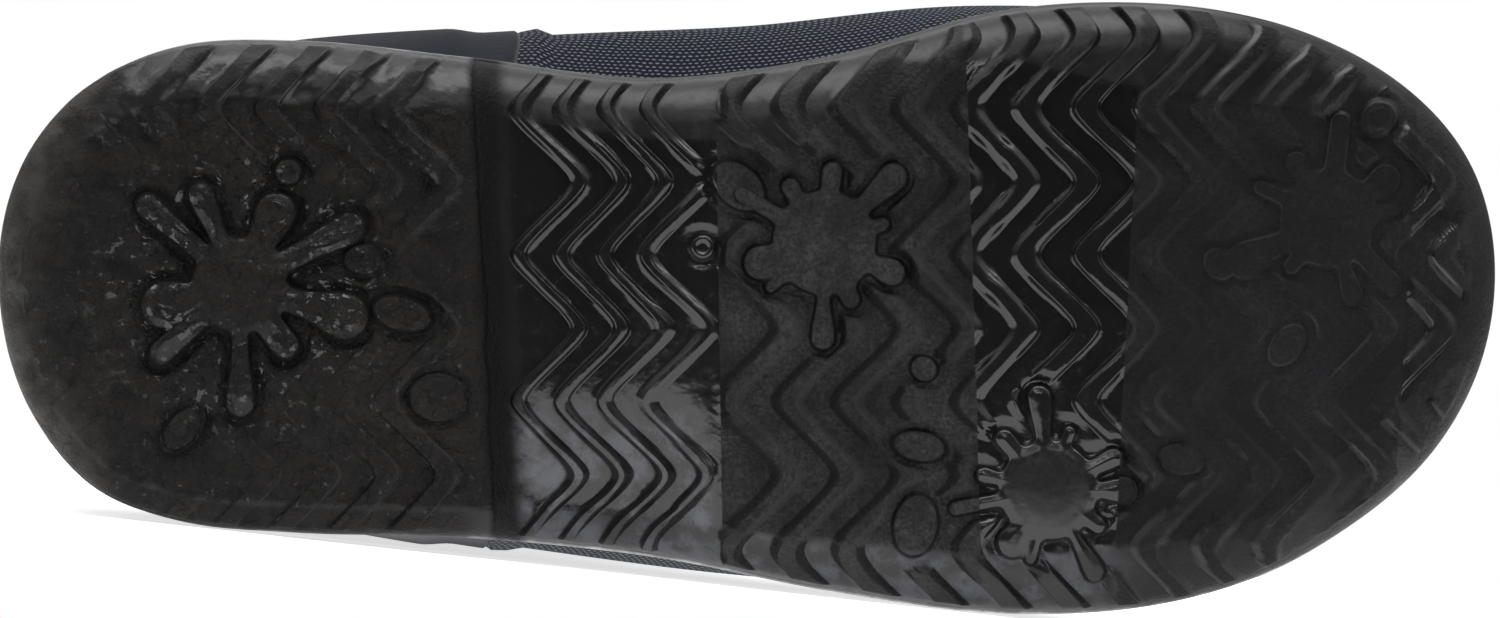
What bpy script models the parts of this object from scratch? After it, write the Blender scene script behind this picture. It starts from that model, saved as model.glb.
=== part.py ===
"""Child's pull-on boot for the left foot: rubber outsole, hollow knit-faced upper, heel counter, insole.

Each piece is modelled in the boot's own axes, in millimetres: x from heel to toe, y towards the outer
(little toe) side, z up from the ground under the sole. The whole boot is then laid on its outer side,
with the sole facing -Y, the toe to +X and the inner side up.
"""

import math

import bmesh
import bpy
import numpy as np
from mathutils import Euler, Matrix, Vector

MM = 0.001

# Driving sizes of the boot, in millimetres.
SOLE_LENGTH = 199.3
SEAT_GAP = 0.3
UPPER_WALL = 3.0
INSOLE_THICKNESS = 3.0
INSOLE_SIDE_GAP = 0.42
COUNTER_THICKNESS = 1.3
COUNTER_MARGIN_THICKNESS = 0.6

# Outsole side: a rolled edge, a wall set back a little, and a thin bead along the lip.
RIM_THICKNESS = 2.8
WALL_SETBACK = 0.5
BEAD_HEIGHT = 1.4
ROLL_STEPS, FLAT_STEPS = 4, 7
ROLL_HEIGHT_SHARE = 0.95
ROLL_HEIGHT_EXTRA = 0.6

# Outsole underside, as heights above the ground. Splash pads touch the ground at heel and forefoot.
VALLEY = 1.5
RIB_HEIGHT = 1.2
ARCH_RISE = 2.7
BREAST_START, BREAST_END = 63.5, 67.0
ARCH_FALL, ARCH_END = 80.0, 96.0
SPRING_START, TOE_SPRING, SPRING_POWER = 150.0, 7.0, 1.8

# Outline of the sole seen from below, from the line through heel tip and toe tip.
# Columns: station along the length, half-width on the inner side, half-width on the outer side.
SOLE_OUTLINE = (
    (0.0, 0.0, 0.0),
    (4.4, 16.9, 18.6),
    (13.1, 26.0, 28.9),
    (24.0, 30.4, 33.1),
    (40.0, 31.0, 34.6),
    (62.0, 28.8, 35.2),
    (88.0, 26.0, 37.9),
    (110.0, 28.8, 42.2),
    (133.0, 34.9, 45.2),
    (152.0, 36.0, 44.4),
    (168.0, 33.9, 40.2),
    (180.0, 29.5, 33.6),
    (190.0, 22.5, 24.9),
    (196.5, 13.6, 14.3),
    (SOLE_LENGTH, 0.0, 0.0),
)

# Side of the outsole along its length.
# Columns: station, width of the rolled edge inside, width outside, height of the lip, height of the floor.
SOLE_SIDE = (
    (0.0, 3.5, 3.5, 17.5, 9.5),
    (15.0, 5.5, 3.5, 17.0, 9.5),
    (40.0, 7.5, 3.5, 16.0, 9.5),
    (66.0, 6.5, 6.0, 14.5, 9.2),
    (90.0, 6.5, 8.0, 13.5, 7.6),
    (115.0, 8.0, 8.5, 13.0, 6.4),
    (145.0, 6.5, 8.0, 13.5, 6.4),
    (172.0, 5.5, 6.0, 17.0, 8.6),
    (SOLE_LENGTH, 4.5, 4.5, 22.0, 13.4),
)

# Zigzag ribs: their common zigzag and the three groups. Columns: first station, pitch, count, width.
ZIGZAG_PERIOD = 19.3
ZIGZAG_SWING = 8.0
ZIGZAG_HEEL_PEAK_AT = -2.4
ZIGZAG_FLAT_SHARE = 0.1
RIB_END_INSET = 2.2
RIB_ROOT = 1.4
RIB_SEARCH_FROM, RIB_SEARCH_TO, RIB_SEARCH_STEP = -45.0, 50.0, 0.5
RIB_LEAST_STRETCH = 0.8
RIB_GROUPS = (
    (16.5, 7.87, 6, 3.3),
    (73.2, 5.7, 4, 1.9),
    (100.7, 7.87, 12, 3.3),
)

# Splash pads. Columns: centre x, centre y, core radius, finger length, fingers, turn in degrees.
SPLASHES = (
    (32.6, 1.6, 6.8, 8.0, 9, -10.0),
    (109.5, -4.0, 6.9, 5.7, 10, 7.0),
    (139.0, 28.6, 6.6, 5.4, 11, -16.0),
    (176.0, -7.2, 6.4, 6.4, 9, 20.0),
)
SPLASH_POINTS_PER_FINGER = 6

# Sections of the upper above the rim, from heel to front of each section.
# Columns: back x, back z, front x, front z, then half-widths at seven stations, inner side and outer side.
UPPER_STATIONS = (0.0, 0.12, 0.27, 0.40, 0.50, 0.60, 0.72, 0.88, 1.0)
UPPER_SECTIONS = (
    ("bulge", 2.6, 27.0, 195.6, 29.0,
     (21.5, 29.4, 31.6, 32.9, 36.1, 33.7, 20.5), (23.4, 31.2, 36.8, 40.7, 42.7, 40.1, 22.4)),
    ("toe_top", 2.8, 36.0, 186.0, 42.0,
     (20.8, 29.1, 31.5, 32.4, 33.9, 30.3, 15.4), (22.6, 30.8, 36.0, 38.5, 39.0, 34.7, 17.0)),
    ("vamp", 3.4, 46.0, 151.0, 56.0,
     (19.0, 28.3, 31.4, 31.7, 31.2, 26.4, 12.4), (21.0, 30.2, 34.6, 36.0, 35.8, 30.8, 14.2)),
    ("instep", 5.6, 61.0, 119.5, 74.0,
     (17.0, 27.2, 31.0, 31.2, 29.4, 24.0, 11.4), (19.2, 29.4, 33.5, 34.0, 32.6, 27.3, 12.8)),
    ("throat", 7.8, 82.0, 108.8, 93.0,
     (15.4, 25.8, 30.4, 31.0, 29.1, 23.7, 11.8), (17.2, 27.6, 32.5, 33.4, 31.5, 25.8, 12.8)),
    ("ankle", 8.4, 105.0, 106.2, 112.0,
     (14.8, 25.4, 30.5, 31.6, 30.0, 24.7, 12.0), (16.4, 27.2, 32.7, 34.0, 32.2, 26.4, 12.8)),
    ("calf", 5.4, 150.0, 107.0, 152.0,
     (15.0, 26.6, 32.6, 34.2, 32.5, 26.8, 13.0), (16.6, 28.6, 35.0, 36.6, 34.7, 28.5, 14.0)),
    ("collar", 2.0, 205.0, 109.6, 208.0,
     (15.6, 27.8, 34.8, 36.8, 35.0, 28.7, 14.0), (17.0, 29.8, 37.0, 39.0, 36.9, 30.2, 15.0)),
)
UPPER_RINGS = 22
LOOP_STEPS = 24
LEAST_SHARE_STEP = 0.012
OUTLINE_SAMPLES = 140

# Heel counter on the upper: ring positions of its edges, and where its front edge and margin start.
COUNTER_LOW_RING, COUNTER_TOP_RING, COUNTER_FRONT_RING = 1.14, 5.0, 3.1
COUNTER_FRONT_SHARE = {-1: 0.40, 1: 0.385}
COUNTER_MARGIN_SHARE = 0.945
COUNTER_FALL_FROM = 0.25
COUNTER_STEPS_ROUND, COUNTER_STEPS_UP = 24, 6

# Laying the boot down: a point on its middle line, and how often the turns are bettered.
BOOT_MIDDLE = (60.0, 2.0, 60.0)
SETTLE_ROUNDS = 40

INNER, OUTER = -1, 1


def smooth(knots, values, at):
    """Value of a smooth curve through the knots, with the slope at each knot taken from its neighbours."""
    knots = np.asarray(knots, float)
    values = np.asarray(values, float)
    steps = np.diff(knots)
    rises = np.diff(values) / steps
    slopes = np.empty(len(knots))
    slopes[1:-1] = (rises[:-1] * steps[1:] + rises[1:] * steps[:-1]) / (steps[:-1] + steps[1:])
    slopes[0] = 1.5 * rises[0] - 0.5 * slopes[1]
    slopes[-1] = 1.5 * rises[-1] - 0.5 * slopes[-2]
    at = np.clip(np.asarray(at, float), knots[0], knots[-1])
    k = np.clip(np.searchsorted(knots, at) - 1, 0, len(steps) - 1)
    u = (at - knots[k]) / steps[k]
    return (
        values[k] * (1 + 2 * u) * (1 - u) ** 2
        + values[k + 1] * u * u * (3 - 2 * u)
        + steps[k] * u * (1 - u) * (slopes[k] * (1 - u) - slopes[k + 1] * u)
    )


def step(start, end, at):
    """0 before start, 1 after end, and an S-shaped rise between them."""
    u = np.clip((np.asarray(at, float) - start) / (end - start), 0, 1)
    return u * u * (3 - 2 * u)


def share_of(station):
    """Angle share of a station: 0 at the heel tip, 1 at the toe tip, close together at both ends."""
    return np.arccos(1 - 2 * np.asarray(station, float) / SOLE_LENGTH) / math.pi


def station_of(share):
    return SOLE_LENGTH * (1 - np.cos(math.pi * np.asarray(share, float))) / 2


OUTLINE_TABLE = np.array(SOLE_OUTLINE)
OUTLINE_SHARES = share_of(OUTLINE_TABLE[:, 0])
SIDE_TABLE = np.array(SOLE_SIDE)


def outline(side, share):
    """Point (x, y) of the sole's outline on one side."""
    column = 1 if side == INNER else 2
    half_width = smooth(OUTLINE_SHARES, OUTLINE_TABLE[:, column], share)
    return np.stack([station_of(share), side * half_width], axis=-1)


def inset_outline(side, share, inset):
    """Point of the outline moved inwards, square to the outline."""
    ahead = outline(side, np.clip(share + 1e-3, 0, 1))
    behind = outline(side, np.clip(share - 1e-3, 0, 1))
    along = ahead - behind
    if share <= 0:
        along = np.array([0.0, side])
    elif share >= 1:
        along = np.array([0.0, -side])
    along = along / np.linalg.norm(along)
    inward = np.array([along[1], -along[0]]) * side
    return outline(side, share) + inset * inward


def side_size(column, station):
    return smooth(SIDE_TABLE[:, 0], SIDE_TABLE[:, column], station)


def roll_width(side, station):
    return side_size(1 if side == INNER else 2, station)


def lip_height(station):
    return side_size(3, station)


def floor_height(station):
    return side_size(4, station)


def underside(station):
    """Height of the valleys of the tread along the sole: heel, breast, arch, forefoot and toe spring."""
    arch = ARCH_RISE * step(BREAST_START, BREAST_END, station) * (1 - step(ARCH_FALL, ARCH_END, station))
    past = np.clip((np.asarray(station, float) - SPRING_START) / (SOLE_LENGTH - SPRING_START), 0, None)
    return VALLEY + arch + TOE_SPRING * past**SPRING_POWER


OUTLINE_WALK = np.concatenate(
    [
        outline(OUTER, np.linspace(0, 1, OUTLINE_SAMPLES)),
        outline(INNER, np.linspace(1, 0, OUTLINE_SAMPLES))[1:],
    ]
)


def edge_distance(point):
    """Distance from a point of the underside to the outline, negative outside it, and the nearer side."""
    start, end = OUTLINE_WALK[:-1], OUTLINE_WALK[1:]
    along = end - start
    share = np.clip(((point - start) * along).sum(1) / (along**2).sum(1), 0, 1)
    gaps = np.linalg.norm(point - start - share[:, None] * along, axis=1)
    side = OUTER if point[1] > 0 else INNER
    half_width = abs(outline(side, share_of(np.clip(point[0], 0, SOLE_LENGTH)))[1])
    inside = 0 < point[0] < SOLE_LENGTH and abs(point[1]) < half_width
    return (gaps.min() if inside else -gaps.min()), side


def tread_height(x, y):
    """Height of the sole's skin at a point of its underside, rolled edge included."""
    gap, side = edge_distance(np.array([x, y]))
    width = float(roll_width(side, np.clip(x, 0, SOLE_LENGTH)))
    inward = np.clip((gap - WALL_SETBACK) / width, 0, 1)
    rise = (ROLL_HEIGHT_SHARE * width + ROLL_HEIGHT_EXTRA) * (1 - math.sqrt(1 - (1 - inward) ** 2))
    return float(underside(np.clip(x, 0, SOLE_LENGTH))) + rise


def material(name, colour, roughness):
    made = bpy.data.materials.new(name)
    made.use_nodes = True
    shader = made.node_tree.nodes["Principled BSDF"]
    shader.inputs["Base Color"].default_value = (*colour, 1.0)
    shader.inputs["Roughness"].default_value = roughness
    shader.inputs["Metallic"].default_value = 0.0
    return made


def new_object(name, points, faces, finish, helper=False):
    """Object with a mesh of these points, given in millimetres, and faces, turned to face outwards."""
    mesh = bpy.data.meshes.new(name)
    mesh.from_pydata([Vector(p) * MM for p in points], [], faces)
    shape = bmesh.new()
    shape.from_mesh(mesh)
    bmesh.ops.recalc_face_normals(shape, faces=shape.faces)
    shape.to_mesh(mesh)
    shape.free()
    made = bpy.data.objects.new(name, mesh)
    bpy.context.scene.collection.objects.link(made)
    if finish:
        mesh.materials.append(finish)
    if helper:
        made.hide_render = True
        made.display_type = "WIRE"
    return made


def union(target, helper):
    joining = target.modifiers.new(helper.name, "BOOLEAN")
    joining.operation = "UNION"
    joining.solver = "EXACT"
    joining.object = helper


def ladder(rows, closed_rows):
    """Quads between neighbouring rows of point numbers. A quad that lost a corner is a triangle."""
    faces = []
    for low, high in zip(rows[:-1], rows[1:]):
        count = len(low)
        for i in range(count if closed_rows else count - 1):
            j = (i + 1) % count
            corners = list(dict.fromkeys((low[i], low[j], high[j], high[i])))
            if len(corners) > 2:
                faces.append(corners)
    return faces


class PointList:
    """Points collected without repeats, so that a section that shrinks to a point has one vertex there."""

    def __init__(self):
        self.points, self.numbers = [], {}

    def add(self, point):
        key = tuple(round(float(c), 4) for c in point)
        if key not in self.numbers:
            self.numbers[key] = len(self.points)
            self.points.append(key)
        return self.numbers[key]


def sole_shares():
    """Angle shares of the outsole's sections, some of them at the ends of the breast and of the arch."""
    fixed = share_of(np.array([BREAST_START, BREAST_END, ARCH_FALL, ARCH_END]))
    regular = [s for s in np.linspace(0, 1, LOOP_STEPS + 1) if np.abs(fixed - s).min() > LEAST_SHARE_STEP]
    return sorted([*regular, *fixed])


def outsole_section(share):
    """Closed loop of points round one section of the cup: underside, outer wall, lip, floor, inner wall."""
    station = float(station_of(share))
    lip = float(lip_height(station))
    walls = {}
    for side in (INNER, OUTER):
        width = float(roll_width(side, station))
        height = ROLL_HEIGHT_SHARE * width + ROLL_HEIGHT_EXTRA
        wall = []
        for angle in np.linspace(math.pi / 2, 0, ROLL_STEPS + 1):
            spot = inset_outline(side, share, WALL_SETBACK + width * (1 - math.cos(angle)))
            wall.append((*spot, float(underside(spot[0])) + height * (1 - math.sin(angle))))
        for inset, z in (
            (WALL_SETBACK, lip - BEAD_HEIGHT - WALL_SETBACK),
            (0.0, lip - BEAD_HEIGHT),
            (0.0, lip - WALL_SETBACK),
            (WALL_SETBACK, lip),
            (RIM_THICKNESS, lip),
        ):
            wall.append((*inset_outline(side, share, inset), z))
        foot = inset_outline(side, share, RIM_THICKNESS)
        walls[side] = [*wall, (*foot, float(floor_height(foot[0])))]
    across = []
    first, last = np.array(walls[INNER][0]), np.array(walls[OUTER][0])
    for part in np.linspace(0, 1, FLAT_STEPS + 1)[1:-1]:
        spot = first + part * (last - first)
        across.append((spot[0], spot[1], float(underside(spot[0]))))
    return [*walls[INNER][::-1], *across, *walls[OUTER]]


def zigzag(y):
    """Shift of a rib towards the toe at a place across the sole, with flattened peaks."""
    phase = ((y - ZIGZAG_HEEL_PEAK_AT) / ZIGZAG_PERIOD) % 1.0
    ramp = 4 * min(phase, 1 - phase) - 1
    return ZIGZAG_SWING / 2 * max(-1 + ZIGZAG_FLAT_SHARE * 2, min(1 - ZIGZAG_FLAT_SHARE * 2, ramp))


def rib_corners():
    """Places across the sole where a rib's straight stretches end."""
    flat = ZIGZAG_FLAT_SHARE * ZIGZAG_PERIOD / 2
    peaks = [ZIGZAG_HEEL_PEAK_AT + k * ZIGZAG_PERIOD / 2 for k in range(-6, 8)]
    return [peak + sign * flat for peak in peaks for sign in (-1, 1)]


def rib_path(station):
    """Longest stretch of a rib's centre line that keeps inside the sole's outline."""

    def inside(y):
        return edge_distance(np.array([station + zigzag(y), y]))[0] > RIB_END_INSET

    runs, run = [], []
    for y in np.arange(RIB_SEARCH_FROM, RIB_SEARCH_TO, RIB_SEARCH_STEP):
        if inside(y):
            run.append(y)
        elif run:
            runs.append(run)
            run = []
    if not runs:
        return []
    longest = max(runs, key=len)
    low, high = longest[0] + RIB_LEAST_STRETCH, longest[-1] - RIB_LEAST_STRETCH
    middle = [y for y in rib_corners() if low < y < high]
    return [(station + zigzag(y), y) for y in (longest[0], *middle, longest[-1])]


def make_ribs():
    points, faces = [], []
    for first, pitch, count, width in RIB_GROUPS:
        for k in range(count):
            path = rib_path(first + pitch * k)
            if len(path) < 3:
                continue
            rows = []
            for x, y in path:
                base = len(points)
                for dx, dz in ((-1, -RIB_HEIGHT), (1, -RIB_HEIGHT), (1, RIB_ROOT), (-1, RIB_ROOT)):
                    spot = x + dx * width / 2
                    points.append((spot, y, tread_height(x, y) + dz))
                rows.append([base, base + 1, base + 2, base + 3])
            faces += ladder(rows, True) + [rows[0], rows[-1][::-1]]
    return new_object("ribs_to_join", points, faces, None, helper=True)


def splash_outline(x, y, core, finger, fingers, turn):
    """Points round a splash: a round core with fingers of three lengths."""
    count = fingers * SPLASH_POINTS_PER_FINGER
    spots = []
    for k in range(count):
        angle = 2 * math.pi * k / count
        length = finger * (0.55 + 0.45 * math.cos(2.3 * (k // SPLASH_POINTS_PER_FINGER)) ** 2)
        reach = core + length * (0.5 - 0.5 * math.cos(fingers * angle)) ** 1.5
        way = angle + math.radians(turn)
        spots.append((x + reach * math.cos(way), y + reach * math.sin(way)))
    return spots


def make_splashes():
    points, faces = [], []
    for x, y, core, finger, fingers, turn in SPLASHES:
        spots = splash_outline(x, y, core, finger, fingers, turn)
        lift = float(underside(x)) - VALLEY
        tilt = (float(underside(x + 1)) - float(underside(x - 1))) / 2
        rows = []
        for dz in (-VALLEY, RIB_ROOT):
            rows.append([len(points) + i for i in range(len(spots))])
            points += [(px, py, VALLEY + lift + tilt * (px - x) + dz) for px, py in spots]
        faces += ladder(rows, True) + [rows[0][::-1], rows[1]]
    return new_object("splashes_to_join", points, faces, None, helper=True)


def make_outsole(finish):
    listed = PointList()
    rows = [[listed.add(p) for p in outsole_section(share)] for share in sole_shares()]
    sole = new_object("outsole", listed.points, ladder(rows, True), finish)
    union(sole, make_ribs())
    union(sole, make_splashes())
    return sole


def loop_shares():
    """(side, share) round a loop of the upper: from the back along the outer side, then back."""
    shares = np.linspace(0, 1, LOOP_STEPS + 1)
    return [(OUTER, s) for s in shares[:-1]] + [(INNER, s) for s in shares[:0:-1]]


def rim_loops(walk):
    """The two loops of the upper inside the rim: just above the floor, and level with the lip."""
    on_floor, at_lip = [], []
    for side, share in walk:
        spot = inset_outline(side, share, RIM_THICKNESS + SEAT_GAP)
        on_floor.append((*spot, float(floor_height(spot[0])) + SEAT_GAP))
        at_lip.append((*spot, float(lip_height(station_of(share)))))
    return on_floor, at_lip


def section_loop(walk, section):
    _, back_x, back_z, front_x, front_z, inner, outer = section
    loop = []
    for side, share in walk:
        along = (1 - math.cos(math.pi * share)) / 2
        widths = (0.0, *(inner if side == INNER else outer), 0.0)
        half_width = float(smooth(UPPER_STATIONS, widths, share))
        x = back_x + (front_x - back_x) * along
        loop.append((x, side * half_width, back_z + (front_z - back_z) * along))
    return loop


def upper_surface(walk, rings):
    """Outer surface of the upper as an array [ring, place round the loop, xyz], from the bottom edge up."""
    keys = np.array([*rim_loops(walk), *[section_loop(walk, section) for section in UPPER_SECTIONS]])
    numbers = np.arange(len(keys), dtype=float)
    rings = np.broadcast_to(rings, (len(rings), len(walk)))
    made = np.empty((*rings.shape, 3))
    for place in range(len(walk)):
        at = rings[:, place]
        for axis in range(3):
            values = keys[:, place, axis]
            in_rim = values[0] + at * (values[1] - values[0])
            made[:, place, axis] = np.where(at < 1, in_rim, smooth(numbers[1:], values[1:], at))
    return made


def solid_sheet(name, surface, closed, finish, thickness, offset):
    """Sheet through a grid of points, thickened to one side: offset -1 thickens inwards and 1 outwards."""
    count = surface.shape[1]
    rows = [[r * count + i for i in range(count)] for r in range(surface.shape[0])]
    made = new_object(name, surface.reshape(-1, 3), ladder(rows, closed), finish)
    wall = made.modifiers.new("wall", "SOLIDIFY")
    wall.thickness = thickness * MM
    wall.offset = offset
    wall.use_even_offset = True
    return made


def face_away_from_axis(made, centre):
    """Turns the sheet's faces to point away from the boot's middle line."""
    mesh = made.data
    outward = sum((face.center - Vector(centre) * MM).dot(face.normal) * face.area for face in mesh.polygons)
    if outward < 0:
        mesh.flip_normals()


def make_upper(finish):
    walk = loop_shares()
    rings = np.append(0, np.linspace(1, len(UPPER_SECTIONS) + 1, UPPER_RINGS - 1))
    made = solid_sheet("upper", upper_surface(walk, rings[:, None]), True, finish, UPPER_WALL, -1)
    face_away_from_axis(made, BOOT_MIDDLE)
    return made


def make_counter(finish):
    """Overlay round the heel, from just above the lip, lower and thinner towards its front edges."""
    reach = np.linspace(-1, 1, COUNTER_STEPS_ROUND + 1)
    reach = np.sort(np.append(reach, [-COUNTER_MARGIN_SHARE, COUNTER_MARGIN_SHARE]))
    walk = []
    for r in reach:
        side = OUTER if r > 0 else INNER
        walk.append((side, abs(r) * COUNTER_FRONT_SHARE[side]))
    fall = step(COUNTER_FALL_FROM, 1.0, np.abs(reach))
    tops = COUNTER_TOP_RING + (COUNTER_FRONT_RING - COUNTER_TOP_RING) * fall
    climb = np.linspace(0, 1, COUNTER_STEPS_UP + 1)[:, None]
    surface = upper_surface(walk, COUNTER_LOW_RING + climb * (tops - COUNTER_LOW_RING))
    made = solid_sheet("heel_counter", surface, False, finish, COUNTER_THICKNESS, 1)
    face_away_from_axis(made, BOOT_MIDDLE)
    for vertex, normal in zip(made.data.vertices, [v.normal.copy() for v in made.data.vertices]):
        vertex.co += normal * SEAT_GAP * MM
    body = made.vertex_groups.new(name="full_thickness")
    full = np.tile(np.abs(reach) < COUNTER_MARGIN_SHARE - 1e-6, COUNTER_STEPS_UP + 1)
    body.add([int(i) for i in np.flatnonzero(full)], 1.0, "REPLACE")
    wall = made.modifiers["wall"]
    wall.vertex_group = body.name
    wall.thickness_vertex_group = COUNTER_MARGIN_THICKNESS / COUNTER_THICKNESS
    return made


def make_insole(finish):
    inset = RIM_THICKNESS + SEAT_GAP + UPPER_WALL + INSOLE_SIDE_GAP
    listed = PointList()
    rows = []
    for share in sole_shares():
        loop = []
        for side, dz in ((INNER, 0), (OUTER, 0), (OUTER, INSOLE_THICKNESS), (INNER, INSOLE_THICKNESS)):
            spot = inset_outline(side, share, inset)
            loop.append(listed.add((*spot, float(floor_height(spot[0])) + SEAT_GAP + dz)))
        rows.append(loop)
    return new_object("insole", listed.points, ladder(rows, True), finish)


def lying_turn(yaw, lean):
    """Rotation that lays the boot on its outer side: sole to -Y, inner side up, then two small turns."""
    laid = Euler((-math.pi / 2, 0, 0)).to_matrix()
    return Euler((lean, 0, 0)).to_matrix() @ Euler((0, yaw, 0)).to_matrix() @ laid


def settle(sole, upper):
    """Turns until heel edge, ball edge and collar all touch the floor under the outer side."""
    heel_half = SOLE_LENGTH * MM / 3
    heel = np.array([v.co for v in sole.data.vertices if v.co.x < heel_half])
    ball = np.array([v.co for v in sole.data.vertices if v.co.x > heel_half])
    collar = np.array([v.co for v in upper.data.vertices])[-2 * LOOP_STEPS :]
    yaw = lean = 0.0
    for _ in range(SETTLE_ROUNDS):
        turn = np.array(lying_turn(yaw, lean))
        low = [min((turn @ point for point in group), key=lambda p: p[2]) for group in (heel, ball, collar)]
        yaw += math.atan2(low[1][2] - low[0][2], low[1][0] - low[0][0])
        sole_low = min(low[0][2], low[1][2])
        lean -= math.atan2(low[2][2] - sole_low, low[2][1] - low[1][1])
    return Matrix(lying_turn(yaw, lean)).to_4x4()


def lay_down(pieces, sole, upper):
    """Parents the pieces to an empty that lays the boot on its side, centred over the origin."""
    turn = settle(sole, upper)
    corners = np.array([turn @ v.co for piece in (sole, upper) for v in piece.data.vertices])
    low, high = corners.min(0), corners.max(0)
    boot = bpy.data.objects.new("boot_on_its_side", None)
    bpy.context.scene.collection.objects.link(boot)
    middle = (low + high) / 2
    boot.matrix_world = Matrix.Translation((-middle[0], -middle[1], -low[2])) @ turn
    for piece in pieces:
        piece.parent = boot


def main():
    for old in list(bpy.data.objects):
        bpy.data.objects.remove(old)
    rubber = material("black_rubber", (0.012, 0.012, 0.013), 0.45)
    knit = material("navy_knit", (0.020, 0.026, 0.050), 0.85)
    smooth_rubber = material("navy_smooth", (0.014, 0.017, 0.030), 0.55)
    foam = material("dark_foam", (0.045, 0.045, 0.05), 0.95)
    sole = make_outsole(rubber)
    upper = make_upper(knit)
    counter = make_counter(smooth_rubber)
    insole = make_insole(foam)
    helpers = [o for o in bpy.data.objects if o.hide_render]
    for piece in (sole, upper, counter, insole):
        piece.data.shade_smooth()
        piece.data.set_sharp_from_angle(angle=math.radians(35))
    lay_down([sole, upper, counter, insole, *helpers], sole, upper)


main()
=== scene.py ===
"""Looks of a child's rubber-soled pull-on boot for the left foot, lying on its outer side.

Shapes are worked out in the boot's own axes, in millimetres: x from heel to toe, y towards the outer side,
z up from the ground under the sole. BOOT_PLACE takes them to the frame's metres.
"""

import math
from types import SimpleNamespace

import bmesh
import bpy
import numpy as np
from mathutils import Euler, Matrix, Vector


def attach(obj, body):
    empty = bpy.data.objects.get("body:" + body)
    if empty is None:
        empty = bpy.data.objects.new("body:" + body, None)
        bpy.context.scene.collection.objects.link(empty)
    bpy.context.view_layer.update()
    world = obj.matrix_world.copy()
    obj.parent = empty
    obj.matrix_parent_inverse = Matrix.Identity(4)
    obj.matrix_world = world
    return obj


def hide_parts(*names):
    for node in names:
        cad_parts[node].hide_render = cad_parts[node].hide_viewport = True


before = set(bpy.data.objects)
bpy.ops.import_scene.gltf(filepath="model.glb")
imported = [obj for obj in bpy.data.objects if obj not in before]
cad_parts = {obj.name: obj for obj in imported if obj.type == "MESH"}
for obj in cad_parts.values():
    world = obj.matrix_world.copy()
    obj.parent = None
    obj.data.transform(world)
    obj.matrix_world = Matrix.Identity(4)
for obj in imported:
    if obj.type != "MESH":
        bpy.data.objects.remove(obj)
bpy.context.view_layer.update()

MM = 0.001
WELD = 1e-6
INNER, OUTER = -1, 1

# How the boot lies: the two small turns that bring heel edge, ball edge and collar to the floor.
LIE_YAW, LIE_LEAN = math.radians(-6.333), math.radians(0.749)
LIE_AT = (-0.09905, -0.10441, 0.03030)
BOOT_TURN = (
    Euler((LIE_LEAN, 0, 0)).to_matrix()
    @ Euler((0, LIE_YAW, 0)).to_matrix()
    @ Euler((-math.pi / 2, 0, 0)).to_matrix()
)
BOOT_PLACE = Matrix.Translation(LIE_AT) @ BOOT_TURN.to_4x4()

# Sizes that the outsole, upper, counter and insole share with the solids.
SOLE_LENGTH = 199.3
SEAT_GAP = 0.3
UPPER_WALL = 3.0
INSOLE_THICKNESS = 3.0
COUNTER_THICKNESS = 1.3
COUNTER_MARGIN_THICKNESS = 0.55
RIM_THICKNESS = 2.8
WALL_SETBACK = 0.5
BEAD_HEIGHT = 1.4
ROLL_HEIGHT_SHARE = 0.95
ROLL_HEIGHT_EXTRA = 0.6
VALLEY = 1.5
ARCH_RISE = 2.7
BREAST_START, BREAST_END = 63.5, 67.0
ARCH_FALL, ARCH_END = 80.0, 96.0
SPRING_START, TOE_SPRING, SPRING_POWER = 150.0, 7.0, 1.8

# Outline of the sole. Columns: station along the length, half-width inside, half-width outside.
SOLE_OUTLINE = np.array((
    (0.0, 0.0, 0.0),
    (4.4, 16.9, 18.6),
    (13.1, 26.0, 28.9),
    (24.0, 30.4, 33.1),
    (40.0, 31.0, 34.6),
    (62.0, 28.8, 35.2),
    (88.0, 26.0, 37.9),
    (110.0, 28.8, 42.2),
    (133.0, 34.9, 45.2),
    (152.0, 36.0, 44.4),
    (168.0, 33.9, 40.2),
    (180.0, 29.5, 33.6),
    (190.0, 22.5, 24.9),
    (196.5, 13.6, 14.3),
    (SOLE_LENGTH, 0.0, 0.0),
))

# Side of the outsole. Columns: station, rolled edge inside, rolled edge outside, lip height, floor height.
SOLE_SIDE = np.array((
    (0.0, 3.5, 3.5, 17.5, 9.5),
    (15.0, 5.5, 3.5, 17.0, 9.5),
    (40.0, 7.5, 3.5, 16.0, 9.5),
    (66.0, 6.5, 6.0, 14.5, 9.2),
    (90.0, 6.5, 8.0, 13.5, 7.6),
    (115.0, 8.0, 8.5, 13.0, 6.4),
    (145.0, 6.5, 8.0, 13.5, 6.4),
    (172.0, 5.5, 6.0, 17.0, 8.6),
    (SOLE_LENGTH, 4.5, 4.5, 22.0, 13.4),
))

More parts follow.
